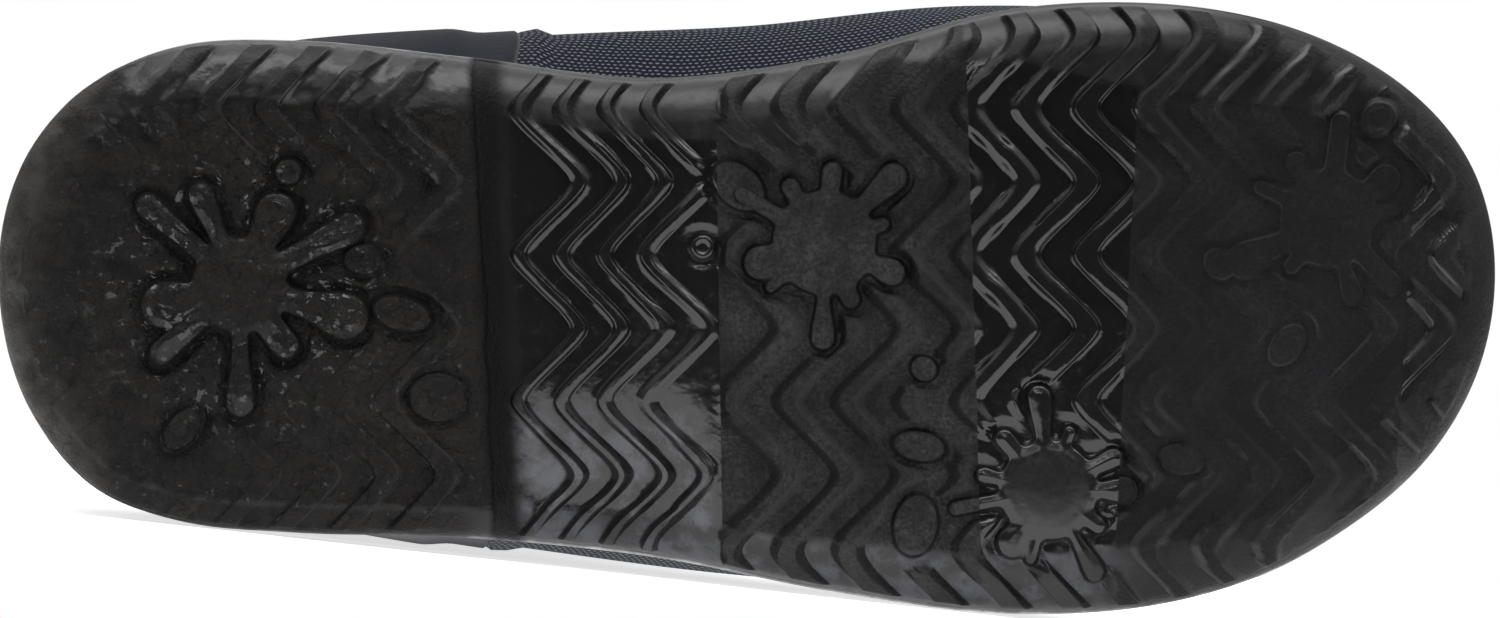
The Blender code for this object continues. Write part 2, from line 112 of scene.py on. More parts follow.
# Sections of the upper above the rim.
# Columns: name, back x, back z, front x, front z, half-widths at seven stations inside, and outside.
UPPER_STATIONS = (0.0, 0.12, 0.27, 0.40, 0.50, 0.60, 0.72, 0.88, 1.0)
UPPER_SECTIONS = (
    ("bulge", 2.6, 27.0, 195.6, 29.0,
     (21.5, 29.4, 31.6, 32.9, 36.1, 33.7, 20.5), (23.4, 31.2, 36.8, 40.7, 42.7, 40.1, 22.4)),
    ("toe_top", 2.8, 36.0, 186.0, 42.0,
     (20.8, 29.1, 31.5, 32.4, 33.9, 30.3, 15.4), (22.6, 30.8, 36.0, 38.5, 39.0, 34.7, 17.0)),
    ("vamp", 3.4, 46.0, 151.0, 56.0,
     (19.0, 28.3, 31.4, 31.7, 31.2, 26.4, 12.4), (21.0, 30.2, 34.6, 36.0, 35.8, 30.8, 14.2)),
    ("instep", 5.6, 61.0, 119.5, 74.0,
     (17.0, 27.2, 31.0, 31.2, 29.4, 24.0, 11.4), (19.2, 29.4, 33.5, 34.0, 32.6, 27.3, 12.8)),
    ("throat", 7.8, 82.0, 108.8, 93.0,
     (15.4, 25.8, 30.4, 31.0, 29.1, 23.7, 11.8), (17.2, 27.6, 32.5, 33.4, 31.5, 25.8, 12.8)),
    ("ankle", 8.4, 105.0, 106.2, 112.0,
     (14.8, 25.4, 30.5, 31.6, 30.0, 24.7, 12.0), (16.4, 27.2, 32.7, 34.0, 32.2, 26.4, 12.8)),
    ("calf", 5.4, 150.0, 107.0, 152.0,
     (15.0, 26.6, 32.6, 34.2, 32.5, 26.8, 13.0), (16.6, 28.6, 35.0, 36.6, 34.7, 28.5, 14.0)),
    ("collar", 2.0, 205.0, 109.6, 208.0,
     (15.6, 27.8, 34.8, 36.8, 35.0, 28.7, 14.0), (17.0, 29.8, 37.0, 39.0, 36.9, 30.2, 15.0)),
)
LAST_RING = len(UPPER_SECTIONS) + 1
COUNTER_LOW_RING, COUNTER_TOP_RING, COUNTER_FRONT_RING = 1.14, 5.0, 3.1
COUNTER_FRONT_SHARE = {INNER: 0.40, OUTER: 0.385}
COUNTER_MARGIN_SHARE = 0.945

ZIGZAG_PERIOD, ZIGZAG_SWING, ZIGZAG_HEEL_PEAK_AT, ZIGZAG_SHARPNESS = 19.3, 8.0, -2.4, 0.91
RIB_EDGE, TIP_SOFTNESS, RIB_ZONE_FADE = 0.25, 0.20, 0.6
# Zigzag ribs. Columns: zone start, zone end, first rib, pitch, count, width, height.
RIB_GROUPS = (
    (-5.0, 63.6, 0.8, 7.87, 8, 3.3, 0.95),
    (67.6, 95.3, 73.2, 5.7, 4, 1.9, 1.0),
    (95.9, 205.0, 100.7, 7.87, 13, 3.3, 1.15),
)
# Worn places. Columns: centre x, centre y, half-length, half-width, share of the ribs' height that is left.
WORN_PLACES = (
    (30.0, 6.0, 33.0, 32.0, 0.20),
    (170.0, 3.0, 24.0, 30.0, 0.40),
)
WORN_FADE = (0.65, 1.05)
BREAST_SLANT = 0.045
HEEL_END = (60.0, 64.0)

# Matte pads between the glossy zones. Columns: start, its slant, end, its slant, how far they stand proud.
MATTE_PADS = (
    (-5.0, 0.0, 64.6, BREAST_SLANT, 0.0),
    (95.6, 0.015, 129.0, 0.03, 0.25),
    (149.6, -0.05, 186.6, -0.06, 0.2),
)
PAD_EDGE = 0.2
# Lumps of the worn heel. Columns: size, height.
HEEL_LUMPS = ((5.5, 0.32), (2.7, 0.34), (1.6, 0.20))
LUMP_SLANT = 0.3
# Numbers that scatter the heights of the lumps: gain, along, across.
SCATTER = (437.58, 12.71, 31.17)
# Glossy border round the pads. Columns: station, width inside, width outside.
GLOSS_BORDER = np.array((
    (0.0, 4.5, 4.0),
    (18.0, 7.0, 4.0),
    (50.0, 8.4, 4.0),
    (62.0, 7.6, 4.0),
    (95.0, 9.0, 5.7),
    (107.0, 10.5, 6.6),
    (114.0, 4.2, 7.2),
    (128.0, 5.5, 7.6),
    (150.0, 11.5, 8.8),
    (166.0, 12.0, 7.8),
    (178.0, 9.5, 10.2),
    (188.0, 8.5, 9.0),
    (SOLE_LENGTH, 8.0, 6.0),
))

# Splashes.
# Columns: centre x, centre y, core radius, reach, fingers, turn in degrees, finger girth, height,
# depth of the pit in its middle, or less than 0 for a dome.
SPLASHES = (
    (32.6, 1.6, 6.4, 16.4, 9, 13.0, 1.65, 1.5, 0.2),
    (109.5, -4.0, 6.9, 12.6, 10, 25.0, 1.1, 1.3, 0.1),
    (139.0, 28.6, 6.6, 12.4, 11, 0.0, 1.0, 1.1, -0.4),
    (176.0, -7.2, 6.4, 12.8, 9, 40.0, 1.1, 0.36, 0.1),
)
# Ring-shaped drops. Columns: x, y, length, width, turn in degrees, height.
DROPS = (
    (53.9, 5.4, 8.2, 4.6, 15.0, 1.1),
    (39.0, -13.3, 3.8, 3.6, 0.0, 1.0),
    (48.8, -1.8, 5.2, 4.2, 5.0, 0.6),
    (58.6, 16.4, 7.6, 6.6, 0.0, 0.35),
    (25.0, 20.5, 6.4, 4.0, -50.0, 0.7),
    (93.5, -3.4, 3.4, 3.4, 0.0, 1.0),
    (98.2, -11.4, 8.2, 5.6, 40.0, 1.1),
    (122.6, 12.6, 3.8, 3.4, 30.0, 0.8),
    (122.0, 22.8, 7.2, 4.2, 10.0, 0.7),
    (121.5, 33.2, 8.4, 6.0, 100.0, 0.8),
    (156.5, 24.5, 6.0, 4.0, 10.0, 0.4),
    (161.5, -1.2, 4.6, 3.8, 50.0, 0.35),
    (170.5, 9.5, 6.4, 4.2, -50.0, 0.4),
    (182.6, -20.4, 5.2, 4.6, -30.0, 0.8),
)
# Unevenness from finger to finger of a splash. Columns: middle, swing, pace, start.
FINGER_TURN, FINGER_LENGTH = (0.0, 0.20, 2.7, 0.0), (0.80, 0.20, 4.1, 0.0)
FINGER_GIRTH, FINGER_TIP = (1.0, 0.28, 1.9, 0.0), (1.35, 0.40, 3.3, math.pi / 2)
FINGER_SWELLS_AT, FINGER_BLEND = 0.55, 0.9
# Depth far from all splashes and drops, and how far round them it is worked out.
FAR_OUTSIDE, SPLASH_MARGIN, DROP_MARGIN = -9.0, 6.0, 4.0
OUTLINE_STEP = 1e-3


def smooth(knots, values, at):
    """Value of a smooth curve through the knots, with the slope at each knot taken from its neighbours."""
    knots = np.asarray(knots, float)
    values = np.asarray(values, float)
    steps = np.diff(knots)
    rises = np.diff(values) / steps
    slopes = np.empty(len(knots))
    slopes[1:-1] = (rises[:-1] * steps[1:] + rises[1:] * steps[:-1]) / (steps[:-1] + steps[1:])
    slopes[0] = 1.5 * rises[0] - 0.5 * slopes[1]
    slopes[-1] = 1.5 * rises[-1] - 0.5 * slopes[-2]
    at = np.clip(np.asarray(at, float), knots[0], knots[-1])
    k = np.clip(np.searchsorted(knots, at) - 1, 0, len(steps) - 1)
    u = (at - knots[k]) / steps[k]
    return (
        values[k] * (1 + 2 * u) * (1 - u) ** 2
        + values[k + 1] * u * u * (3 - 2 * u)
        + steps[k] * u * (1 - u) * (slopes[k] * (1 - u) - slopes[k + 1] * u)
    )


def step(start, end, at):
    """0 before start, 1 after end, and an S-shaped rise between them."""
    u = np.clip((np.asarray(at, float) - start) / (end - start), 0, 1)
    return u * u * (3 - 2 * u)


def share_of(station):
    return np.arccos(1 - 2 * np.clip(station, 0, SOLE_LENGTH) / SOLE_LENGTH) / math.pi


def station_of(share):
    return SOLE_LENGTH * (1 - np.cos(math.pi * np.asarray(share, float))) / 2


def outline(side, share):
    column = 1 if side == INNER else 2
    half_width = smooth(share_of(SOLE_OUTLINE[:, 0]), SOLE_OUTLINE[:, column], share)
    return np.stack([station_of(share), side * half_width], axis=-1)


def inward_ways(side, share):
    """Unit vectors that point into the sole, square to its outline."""
    share = np.asarray(share, float)
    along = outline(side, np.clip(share + OUTLINE_STEP, 0, 1))
    along -= outline(side, np.clip(share - OUTLINE_STEP, 0, 1))
    along[share <= 0] = (0.0, side)
    along[share >= 1] = (0.0, -side)
    along /= np.linalg.norm(along, axis=-1, keepdims=True)
    return np.stack([along[..., 1], -along[..., 0]], axis=-1) * side


def side_size(column, station):
    return smooth(SOLE_SIDE[:, 0], SOLE_SIDE[:, column], station)


def lip_height(station):
    return side_size(3, station)


def floor_height(station):
    return side_size(4, station)


def underside(station):
    """Height of the tread's valleys along the sole."""
    arch = ARCH_RISE * step(BREAST_START, BREAST_END, station) * (1 - step(ARCH_FALL, ARCH_END, station))
    past = np.clip((np.asarray(station, float) - SPRING_START) / (SOLE_LENGTH - SPRING_START), 0, None)
    return VALLEY + arch + TOE_SPRING * past**SPRING_POWER


def zigzag(y):
    """Shift of a rib towards the toe at a place across the sole, with rounded peaks."""
    wave = -np.cos(2 * math.pi * (y - ZIGZAG_HEEL_PEAK_AT) / ZIGZAG_PERIOD)
    return ZIGZAG_SWING / 2 * np.arcsin(ZIGZAG_SHARPNESS * wave) / math.asin(ZIGZAG_SHARPNESS)


def rib_relief(x, y):
    """Height of the zigzag ribs over the valleys."""
    relief = np.zeros_like(x)
    sheared = x - zigzag(y)
    edge = RIB_EDGE + TIP_SOFTNESS * (1 - shear_weight(x))
    for start, end, first, pitch, count, width, height in RIB_GROUPS:
        nearest = np.clip(np.round((sheared - first) / pitch), 0, count - 1)
        off = np.abs(sheared - first - nearest * pitch)
        rib = 1 - step(-1, 1, (off - width / 2) / edge)
        inside = step(start, start + RIB_ZONE_FADE, x) * (1 - step(end - RIB_ZONE_FADE, end, x))
        relief = np.maximum(relief, height * rib * inside)
    for cx, cy, half_length, half_width, left in WORN_PLACES:
        away = np.hypot((x - cx) / half_length, (y - cy) / half_width)
        relief *= left + (1 - left) * step(*WORN_FADE, away)
    return relief


def smooth_most(a, b, softness):
    """The larger of two fields, with the corner between them rounded."""
    blend = np.clip(0.5 + 0.5 * (a - b) / softness, 0, 1)
    return b + (a - b) * blend + softness * blend * (1 - blend)


def uneven(kind, finger, turn):
    middle, swing, pace, start = kind
    return middle + swing * math.sin(pace * finger + turn + start)


def splash_depth(x, y, splash):
    """How far a place lies inside a splash, in millimetres, negative outside it."""
    cx, cy, core, reach, fingers, turn, girth = splash[:7]
    px, py = x - cx, y - cy
    depth = core - np.hypot(px, py)
    for k in range(fingers):
        angle = math.radians(turn) + 2 * math.pi * (k + uneven(FINGER_TURN, k, turn)) / fingers
        length = reach * uneven(FINGER_LENGTH, k, turn)
        neck = girth * uneven(FINGER_GIRTH, k, turn)
        tip = neck * uneven(FINGER_TIP, k, turn)
        along = px * math.cos(angle) + py * math.sin(angle)
        across = -px * math.sin(angle) + py * math.cos(angle)
        reached = np.clip(along / length, 0, 1)
        half_width = neck + (tip - neck) * step(FINGER_SWELLS_AT, 1.0, reached)
        finger = half_width - np.hypot(across, along - reached * length)
        depth = smooth_most(depth, finger, FINGER_BLEND)
    return depth


def drop_depth(x, y, drop):
    """How far a place lies inside a ring-shaped drop, in millimetres, negative outside it."""
    cx, cy, length, width, turn = drop[:5]
    angle = math.radians(turn)
    along = (x - cx) * math.cos(angle) + (y - cy) * math.sin(angle)
    across = -(x - cx) * math.sin(angle) + (y - cy) * math.cos(angle)
    return (1 - np.hypot(along / length, across / width) * 2) * min(length, width) / 2


def figure_depth(x, y):
    """How far a place lies inside the nearest splash or drop, in millimetres, negative outside it."""
    depth = np.full(x.shape, FAR_OUTSIDE)
    kinds = ((SPLASHES, splash_depth, 3, SPLASH_MARGIN), (DROPS, drop_depth, 2, DROP_MARGIN))
    for figures, depth_in, reach_column, margin in kinds:
        for figure in figures:
            near = np.hypot(x - figure[0], y - figure[1]) < figure[reach_column] + margin
            depth[near] = np.maximum(depth[near], depth_in(x[near], y[near], figure))
    return depth


def lattice_noise(x, y, size):
    """Smooth random heights from -1 to 1 over a lattice of this size."""
    u, v = x / size, y / size
    column, row = np.floor(u), np.floor(v)
    u, v = step(0, 1, u - column), step(0, 1, v - row)

    def corner(right, up):
        gain, along, across = SCATTER
        wave = gain * np.sin((column + right) * along + (row + up) * across)
        return 2 * (wave - np.floor(wave)) - 1

    low = corner(0, 0) * (1 - u) + corner(1, 0) * u
    high = corner(0, 1) * (1 - u) + corner(1, 1) * u
    return low * (1 - v) + high * v


def heel_lumps(x, y):
    """Uneven skin of the worn heel."""
    along, across = x + LUMP_SLANT * y, y - LUMP_SLANT * x
    lumps = sum(height * lattice_noise(along, across, size) for size, height in HEEL_LUMPS)
    return lumps * (1 - step(*HEEL_END, x))


def moat_depth(x):
    """Depth of the trough round the splashes and drops, deeper on the heel and shallow on the toe."""
    return np.interp(x, MOAT[:, 0], MOAT[:, 1])


def pads_proud(x, y):
    """How far the matte pads stand above the glossy zones."""
    proud = np.zeros_like(x)
    for start, start_slant, end, end_slant, height in MATTE_PADS:
        begins = step(-PAD_EDGE, PAD_EDGE, x - start - start_slant * y)
        ends = step(-PAD_EDGE, PAD_EDGE, x - end - end_slant * y)
        proud = np.maximum(proud, height * begins * (1 - ends))
    return proud


def to_frame(points):
    """Points of the boot in millimetres, moved to the frame in metres."""
    flat = np.asarray(points, float).reshape(-1, 3) * MM
    turn = np.array(BOOT_TURN)
    return flat @ turn.T + np.array(LIE_AT)


def grid_faces(rows, columns, closed):
    """Corner numbers of the quads of a grid whose rows are closed loops or open strips."""
    r, c = np.meshgrid(np.arange(rows - 1), np.arange(columns if closed else columns - 1), indexing="ij")
    right = (c + 1) % columns
    return np.stack(
        [r * columns + c, r * columns + right, (r + 1) * columns + right, (r + 1) * columns + c], axis=-1
    ).reshape(-1, 4)


def place_object(name, data):
    made = bpy.data.objects.new(name, data)
    bpy.context.scene.collection.objects.link(made)
    return made


def make_piece(name, points, faces, finishes, attributes=(), finish_numbers=None):
    """Piece from points of the boot, with named values at its points, welded and turned to face outwards."""
    mesh = bpy.data.meshes.new(name)
    mesh.from_pydata(to_frame(points).tolist(), [], np.asarray(faces).tolist())
    for finish in finishes:
        mesh.materials.append(finish)
    if finish_numbers is not None:
        mesh.polygons.foreach_set("material_index", np.asarray(finish_numbers, dtype=np.int32))
    for key, values in attributes:
        values = np.asarray(values, dtype=np.float32)
        kind = "FLOAT" if values.ndim == 1 else "FLOAT_VECTOR"
        stored = mesh.attributes.new(key, kind, "POINT")
        stored.data.foreach_set("value" if kind == "FLOAT" else "vector", values.ravel())
    shape = bmesh.new()
    shape.from_mesh(mesh)
    bmesh.ops.remove_doubles(shape, verts=shape.verts, dist=WELD)
    bmesh.ops.dissolve_degenerate(shape, edges=shape.edges, dist=WELD)
    bmesh.ops.recalc_face_normals(shape, faces=shape.faces)
    shape.to_mesh(mesh)
    shape.free()
    mesh.shade_smooth()
    return place_object(name, mesh)


def grid_normals(grid, closed):
    """Unit normals of a grid of points, by the differences along its rows and columns."""
    down = np.gradient(grid, axis=0)
    if closed:
        across = (np.roll(grid, -1, axis=1) - np.roll(grid, 1, axis=1)) / 2
    else:
        across = np.gradient(grid, axis=1)
    normals = np.cross(down, across)
    return normals / np.maximum(np.linalg.norm(normals, axis=-1, keepdims=True), 1e-9)


# Outsole

ROW_STEP, TOE_ROW_STEP = 0.90, 0.45
TIP_REACH, TIP_STEPS = 4.0, 16
FLANK_ROWS = np.array((-1.7, -1.0, -0.35, 0.35, 1.0, 1.7)) * RIB_EDGE
FLAT_COLUMNS, ROLL_COLUMNS, WALL_COLUMNS, BEAD_COLUMNS, LIP_COLUMNS = 122, 18, 3, 6, 3
SIDE_COLUMNS = ROLL_COLUMNS + WALL_COLUMNS + BEAD_COLUMNS + LIP_COLUMNS
LIP_CHAMFER, LEAST_WALL = 0.3, 0.2
SETTLE_ROUNDS = 4
HEEL_SHEAR, TOE_SHEAR = (6.0, 16.0), (9.0, 21.0)
HEEL_RIBS, TOE_RIBS = (9.0, 18.0), (3.5, 8.0)
# Ribs stop this far inside the lip, so that the outline stays even: along the sole, and round the toe.
RIB_STOP, RIB_STOP_TOE, RIB_STOP_CHANGE = 0.9, 2.2, (158.0, 182.0)
RELIEF_GROWS, LEAST_SIDEWAYS, LEAST_ROW_STEP = (0.3, 1.6), 0.1, 0.05
# Hollow of the outer half of the waist: depth, where it begins and stops, and from the middle and lip.
WAIST_LEAN, LEAN_BEGINS, LEAN_STOPS = 2.6, (67.0, 73.0), (89.0, 97.0)
LEAN_FROM_MIDDLE, LEAN_FROM_LIP = (13.0, 34.0), (0.5, 7.0)
RIM_SOFTNESS = 0.6
# Which columns of the bead carry a painted highlight.
BEAD_HIGHLIGHT = {INNER: (0.0, 2.5), OUTER: (-1.0, 0.5)}
# Trough round the splashes and drops. Columns: station, depth.
MOAT = np.array(((60.0, 0.5), (64.0, 0.3), (145.0, 0.3), (155.0, 0.14)))
SPLASH_ROUND, SPLASH_RINGS = 320, 64
DROP_ROUND, DROP_RINGS = 56, 16
FIGURE_EDGE, FIGURE_SKIRT, SKIRT_REACH, FLAT_SHARE, DOME_REACH = 0.32, 0.9, 1.0, 0.68, 1.5
CLEAR_ROUND = (-1.5, -0.7)
SPLASH_START, SPLASH_SPARE, PIT_SHARE = 0.02, 2.4, 0.95
DROP_START, DROP_SPARE, DROP_HOLLOW, DROP_HOLLOW_FROM = 0.004, 2.0, 0.5, (0.55, 1.2)


def sole_rows():
    """Stations of the outsole's rows: six on each flank of a rib, even steps between, close at the tips."""
    keys = [TIP_REACH, SOLE_LENGTH - TIP_REACH]
    for _, _, first, pitch, count, width, _ in RIB_GROUPS:
        for k in range(count):
            keys.extend(first + k * pitch - width / 2 + FLANK_ROWS)
            keys.extend(first + k * pitch + width / 2 + FLANK_ROWS)
    keys = np.unique([key for key in keys if TIP_REACH <= key <= SOLE_LENGTH - TIP_REACH])
    rows = [station_of(np.linspace(0, share_of(TIP_REACH), TIP_STEPS, endpoint=False))]
    for low, high in zip(keys[:-1], keys[1:]):
        most = TOE_ROW_STEP if low > SOLE_LENGTH - TOE_SHEAR[1] else ROW_STEP
        rows.append(np.linspace(low, high, math.ceil((high - low) / most), endpoint=False))
    rows.append(SOLE_LENGTH - rows[0][::-1])
    return np.concatenate([*rows[:-1], [SOLE_LENGTH - TIP_REACH], rows[-1]])


def roll_width(side, stations):
    return side_size(1 if side == INNER else 2, stations)


def flat_edge(side, stations):
    """Where the flat of the tread meets the rolled edge."""
    share = share_of(stations)
    inset = WALL_SETBACK + roll_width(side, stations)
    return outline(side, share) + inward_ways(side, share) * inset[..., None]


def side_columns(side, stations):
    """Points up one side of the cup, from the flat of the tread to the cup's floor, and their insets."""
    share = share_of(stations)
    base, inward = outline(side, share), inward_ways(side, share)
    width, lip = roll_width(side, stations), lip_height(stations)
    height = ROLL_HEIGHT_SHARE * width + ROLL_HEIGHT_EXTRA
    roll_top = underside(stations) + height
    bead_low = np.maximum(lip - BEAD_HEIGHT, roll_top + LEAST_WALL)

    inset = np.full(stations.shape, WALL_SETBACK)
    angles = np.linspace(math.pi / 2, 0, ROLL_COLUMNS)
    roll, wall = slice(0, ROLL_COLUMNS), slice(ROLL_COLUMNS, ROLL_COLUMNS + WALL_COLUMNS)
    bead = slice(ROLL_COLUMNS + WALL_COLUMNS, ROLL_COLUMNS + WALL_COLUMNS + BEAD_COLUMNS)
    bead_angles = np.linspace(0, math.pi, BEAD_COLUMNS + 1)[1:]
    inset[:, roll] += width[:, roll] * (1 - np.cos(angles))
    inset[:, bead] *= 1 - np.sin(bead_angles)
    inset[:, -LIP_COLUMNS:] = (RIM_THICKNESS - LIP_CHAMFER, RIM_THICKNESS, RIM_THICKNESS)
    spot = base + inward * inset[..., None]

    z = underside(np.clip(spot[..., 0] - BREAST_SLANT * spot[..., 1], 0, SOLE_LENGTH))
    z[:, roll] += height[:, roll] * (1 - np.sin(angles))
    part = np.linspace(0, 1, WALL_COLUMNS + 1)[1:]
    z[:, wall] = roll_top[:, wall] + (bead_low - roll_top)[:, wall] * part
    z[:, bead] = ((lip + bead_low) / 2)[:, bead] - ((lip - bead_low) / 2)[:, bead] * np.cos(bead_angles)
    z[:, -3] = lip[:, -3]
    z[:, -2] = lip[:, -2] - LIP_CHAMFER
    z[:, -1] = floor_height(spot[:, -1, 0])
    return np.concatenate([spot, z[..., None]], axis=-1), inset


def flat_columns(stations):
    """Points across the flat of the tread, and how far each lies from the nearer outline."""
    part = np.linspace(0, 1, FLAT_COLUMNS + 2)[1:-1]
    inner, outer = flat_edge(INNER, stations), flat_edge(OUTER, stations)
    spot = inner * (1 - part)[:, None] + outer * part[:, None]
    z = underside(np.clip(spot[..., 0] - BREAST_SLANT * spot[..., 1], 0, SOLE_LENGTH))
    from_inner = WALL_SETBACK + roll_width(INNER, stations) + spot[..., 1] - inner[..., 1]
    from_outer = WALL_SETBACK + roll_width(OUTER, stations) + outer[..., 1] - spot[..., 1]
    return np.concatenate([spot, z[..., None]], axis=-1), np.minimum(from_inner, from_outer)


def shear_weight(station):
    """How far rows follow the ribs: fully along the sole, not at all round its tips."""
    return step(*HEEL_SHEAR, station) * step(*TOE_SHEAR, SOLE_LENGTH - station)


def follow_ribs(rows, columns, points_at):
    """Points of a block of columns whose rows run along the zigzag of the ribs."""
    weight = shear_weight(rows)
    stations = np.repeat(rows[:, None], columns, axis=1)
    for _ in range(SETTLE_ROUNDS):
        points, _ = points_at(stations)
        stations = rows[:, None] + weight[:, None] * zigzag(points[..., 1])
    return points_at(stations)


def tread_relief(x, y):
    """Height of the tread over its valleys: ribs, pads and lumps, cleared round the splashes and drops."""
    depth = figure_depth(x, y)
    clear = step(*CLEAR_ROUND, depth)
    ribs = rib_relief(x, y) * step(*HEEL_RIBS, x) * step(*TOE_RIBS, SOLE_LENGTH - x)
    return ribs * (1 - clear) + heel_lumps(x, y) + pads_proud(x, y) - moat_depth(x) * clear


def gloss_rim(x, y, insets):
    """1 on the glossy border round the sole and 0 inside it."""
    widths = [smooth(GLOSS_BORDER[:, 0], GLOSS_BORDER[:, column], x) for column in (1, 2)]
    return 1 - step(-RIM_SOFTNESS, RIM_SOFTNESS, insets - np.where(y < 0, *widths))


def tread_base(x, y):
    """Height of the tread's valley or rolled edge at a place, and how far it lies from the outline."""
    z = underside(np.clip(x - BREAST_SLANT * y, 0, SOLE_LENGTH))
    insets = np.full(x.shape, np.inf)
    for side in (INNER, OUTER):
        inset = np.abs(outline(side, share_of(x))[..., 1]) - side * y
        width = roll_width(side, x)
        over = np.clip((WALL_SETBACK + width - inset) / width, 0, 1)
        z += (ROLL_HEIGHT_SHARE * width + ROLL_HEIGHT_EXTRA) * (1 - np.sqrt(1 - over**2))
        insets = np.minimum(insets, inset)
    return z, insets


def figure_sheet(x, y, depth, height, hollow):
    """Sheet of one splash or drop over the tread, with a skirt that goes below the tread round it."""
    z, insets = tread_base(x, y)
    body = step(-FIGURE_EDGE, FIGURE_EDGE, depth)
    domed = FLAT_SHARE * body + (1 - FLAT_SHARE) * step(0, DOME_REACH, depth)
    relief = height * domed - hollow * body - FIGURE_SKIRT * (1 - step(-SKIRT_REACH, -FIGURE_EDGE, depth))
    relief += pads_proud(x, y) + heel_lumps(x, y) * body - moat_depth(x) * (1 - body)
    flank = np.clip(1 - np.abs(depth) / FIGURE_EDGE, 0, 1)
    points = np.stack([x, y, z - relief], axis=-1)
    faces = grid_faces(*x.shape, closed=True)
    faces = faces[(depth > -SKIRT_REACH).reshape(-1)[faces].all(axis=1)]
    return points, faces, gloss_rim(x, y, insets), relief, flank


def make_figures(finish):
    """Splashes and ring-shaped drops of the tread."""
    sheets = []
    turns = np.linspace(0, 2 * math.pi, SPLASH_ROUND, endpoint=False)
    for splash in SPLASHES:
        cx, cy, core, reach, _, _, _, height, pit = splash
        radii = np.linspace(SPLASH_START, reach + SPLASH_SPARE, SPLASH_RINGS)[:, None]
        x, y = cx + radii * np.cos(turns), cy + radii * np.sin(turns)
        hollow = pit * (1 - step(0, PIT_SHARE * core, radii)) + 0 * x
        sheets.append(figure_sheet(x, y, splash_depth(x, y, splash), height, hollow))
    turns = np.linspace(0, 2 * math.pi, DROP_ROUND, endpoint=False)
    for drop in DROPS:
        cx, cy, length, width, turn, height = drop
        angle = math.radians(turn)
        spread = 1 + DROP_SPARE / min(length, width)
        radii = np.linspace(DROP_START, spread, DROP_RINGS)[:, None]
        along, across = radii * length / 2 * np.cos(turns), radii * width / 2 * np.sin(turns)
        x = cx + along * math.cos(angle) - across * math.sin(angle)
        y = cy + along * math.sin(angle) + across * math.cos(angle)
        depth = drop_depth(x, y, drop)
        hollow = DROP_HOLLOW * height * step(*DROP_HOLLOW_FROM, depth)
        sheets.append(figure_sheet(x, y, depth, height, hollow))

    starts = np.cumsum([0] + [sheet[0].shape[0] * sheet[0].shape[1] for sheet in sheets[:-1]])
    points = np.concatenate([sheet[0].reshape(-1, 3) for sheet in sheets])
    faces = np.concatenate([sheet[1] + start for sheet, start in zip(sheets, starts)])
    rim, relief, flank = (np.concatenate([sheet[k].reshape(-1) for sheet in sheets]) for k in (2, 3, 4))
    used = np.zeros(len(points), bool)
    used[faces.reshape(-1)] = True
    renumbered = np.cumsum(used) - 1
    points, rim, relief, flank = points[used], rim[used], relief[used], flank[used]
    return make_piece(
        "tread_splashes", points, renumbered[faces], [finish],
        (
            ("place", np.column_stack([points[:, :2], rim])),
            ("raised", relief / VALLEY),
            ("flank", flank),
            ("bead", np.zeros(len(points))),
        ),
    )


def make_outsole(finish):
    rows = sole_rows()
    inner, inner_insets = follow_ribs(rows, SIDE_COLUMNS, lambda stations: side_columns(INNER, stations))
    outer, outer_insets = follow_ribs(rows, SIDE_COLUMNS, lambda stations: side_columns(OUTER, stations))
    flat, flat_insets = follow_ribs(rows, FLAT_COLUMNS, flat_columns)
    grid = np.concatenate([inner[:, ::-1], flat, outer], axis=1)
    insets = np.concatenate([inner_insets[:, ::-1], flat_insets, outer_insets], axis=1)
    skin = np.zeros(grid.shape[1], bool)
    skin[SIDE_COLUMNS - ROLL_COLUMNS : SIDE_COLUMNS + FLAT_COLUMNS + ROLL_COLUMNS] = True
    x, y = grid[..., 0].copy(), grid[..., 1].copy()
    lean = WAIST_LEAN * step(*LEAN_BEGINS, x) * (1 - step(*LEAN_STOPS, x))
    grid[..., 2] += lean * step(*LEAN_FROM_MIDDLE, y) * step(*LEAN_FROM_LIP, insets) * skin
    normals = grid_normals(grid, closed=True)
    normals *= np.sign(-normals[len(rows) // 2, grid.shape[1] // 2, 2])
    relief = np.zeros(x.shape)
    relief[:, skin] = tread_relief(x[:, skin], y[:, skin])
    sideways = np.maximum(np.hypot(normals[..., 0], normals[..., 1]), LEAST_SIDEWAYS)
    stop = RIB_STOP + (RIB_STOP_TOE - RIB_STOP) * step(*RIB_STOP_CHANGE, x)
    relief = np.minimum(relief, np.clip(insets - stop, 0, None) / sideways) * step(*RELIEF_GROWS, insets)
    grid += normals * relief[..., None]

    rim = np.where(skin, gloss_rim(x, y, insets), 1.0)
    bead = np.zeros(grid.shape[1])
    into = np.arange(BEAD_COLUMNS)
    columns = ROLL_COLUMNS + WALL_COLUMNS + into
    # Share of the painted highlight on each column of the bead.
    bead[SIDE_COLUMNS - 1 - columns] = step(*BEAD_HIGHLIGHT[INNER], into)
    bead[SIDE_COLUMNS + FLAT_COLUMNS + columns] = step(*BEAD_HIGHLIGHT[OUTER], into)
    climb = np.gradient(relief, axis=0) / np.maximum(np.gradient(x, axis=0), LEAST_ROW_STEP)
    count = grid.shape[0] * grid.shape[1]
    return make_piece(
        "outsole_moulded", grid.reshape(-1, 3), grid_faces(*grid.shape[:2], closed=True), [finish],
        (
            ("place", np.stack([x, y, rim], axis=-1).reshape(-1, 3)),
            ("raised", (relief / VALLEY).reshape(count)),
            ("flank", np.clip(climb, -1, 1).reshape(count)),
            # Share of the painted highlight along the lip.
            ("bead", np.broadcast_to(bead, grid.shape[:2]).reshape(count)),
        ),
    )


# Upper

UPPER_OUTER_RINGS, UPPER_INNER_RINGS, LOOP_HALF = 250, 64, 140
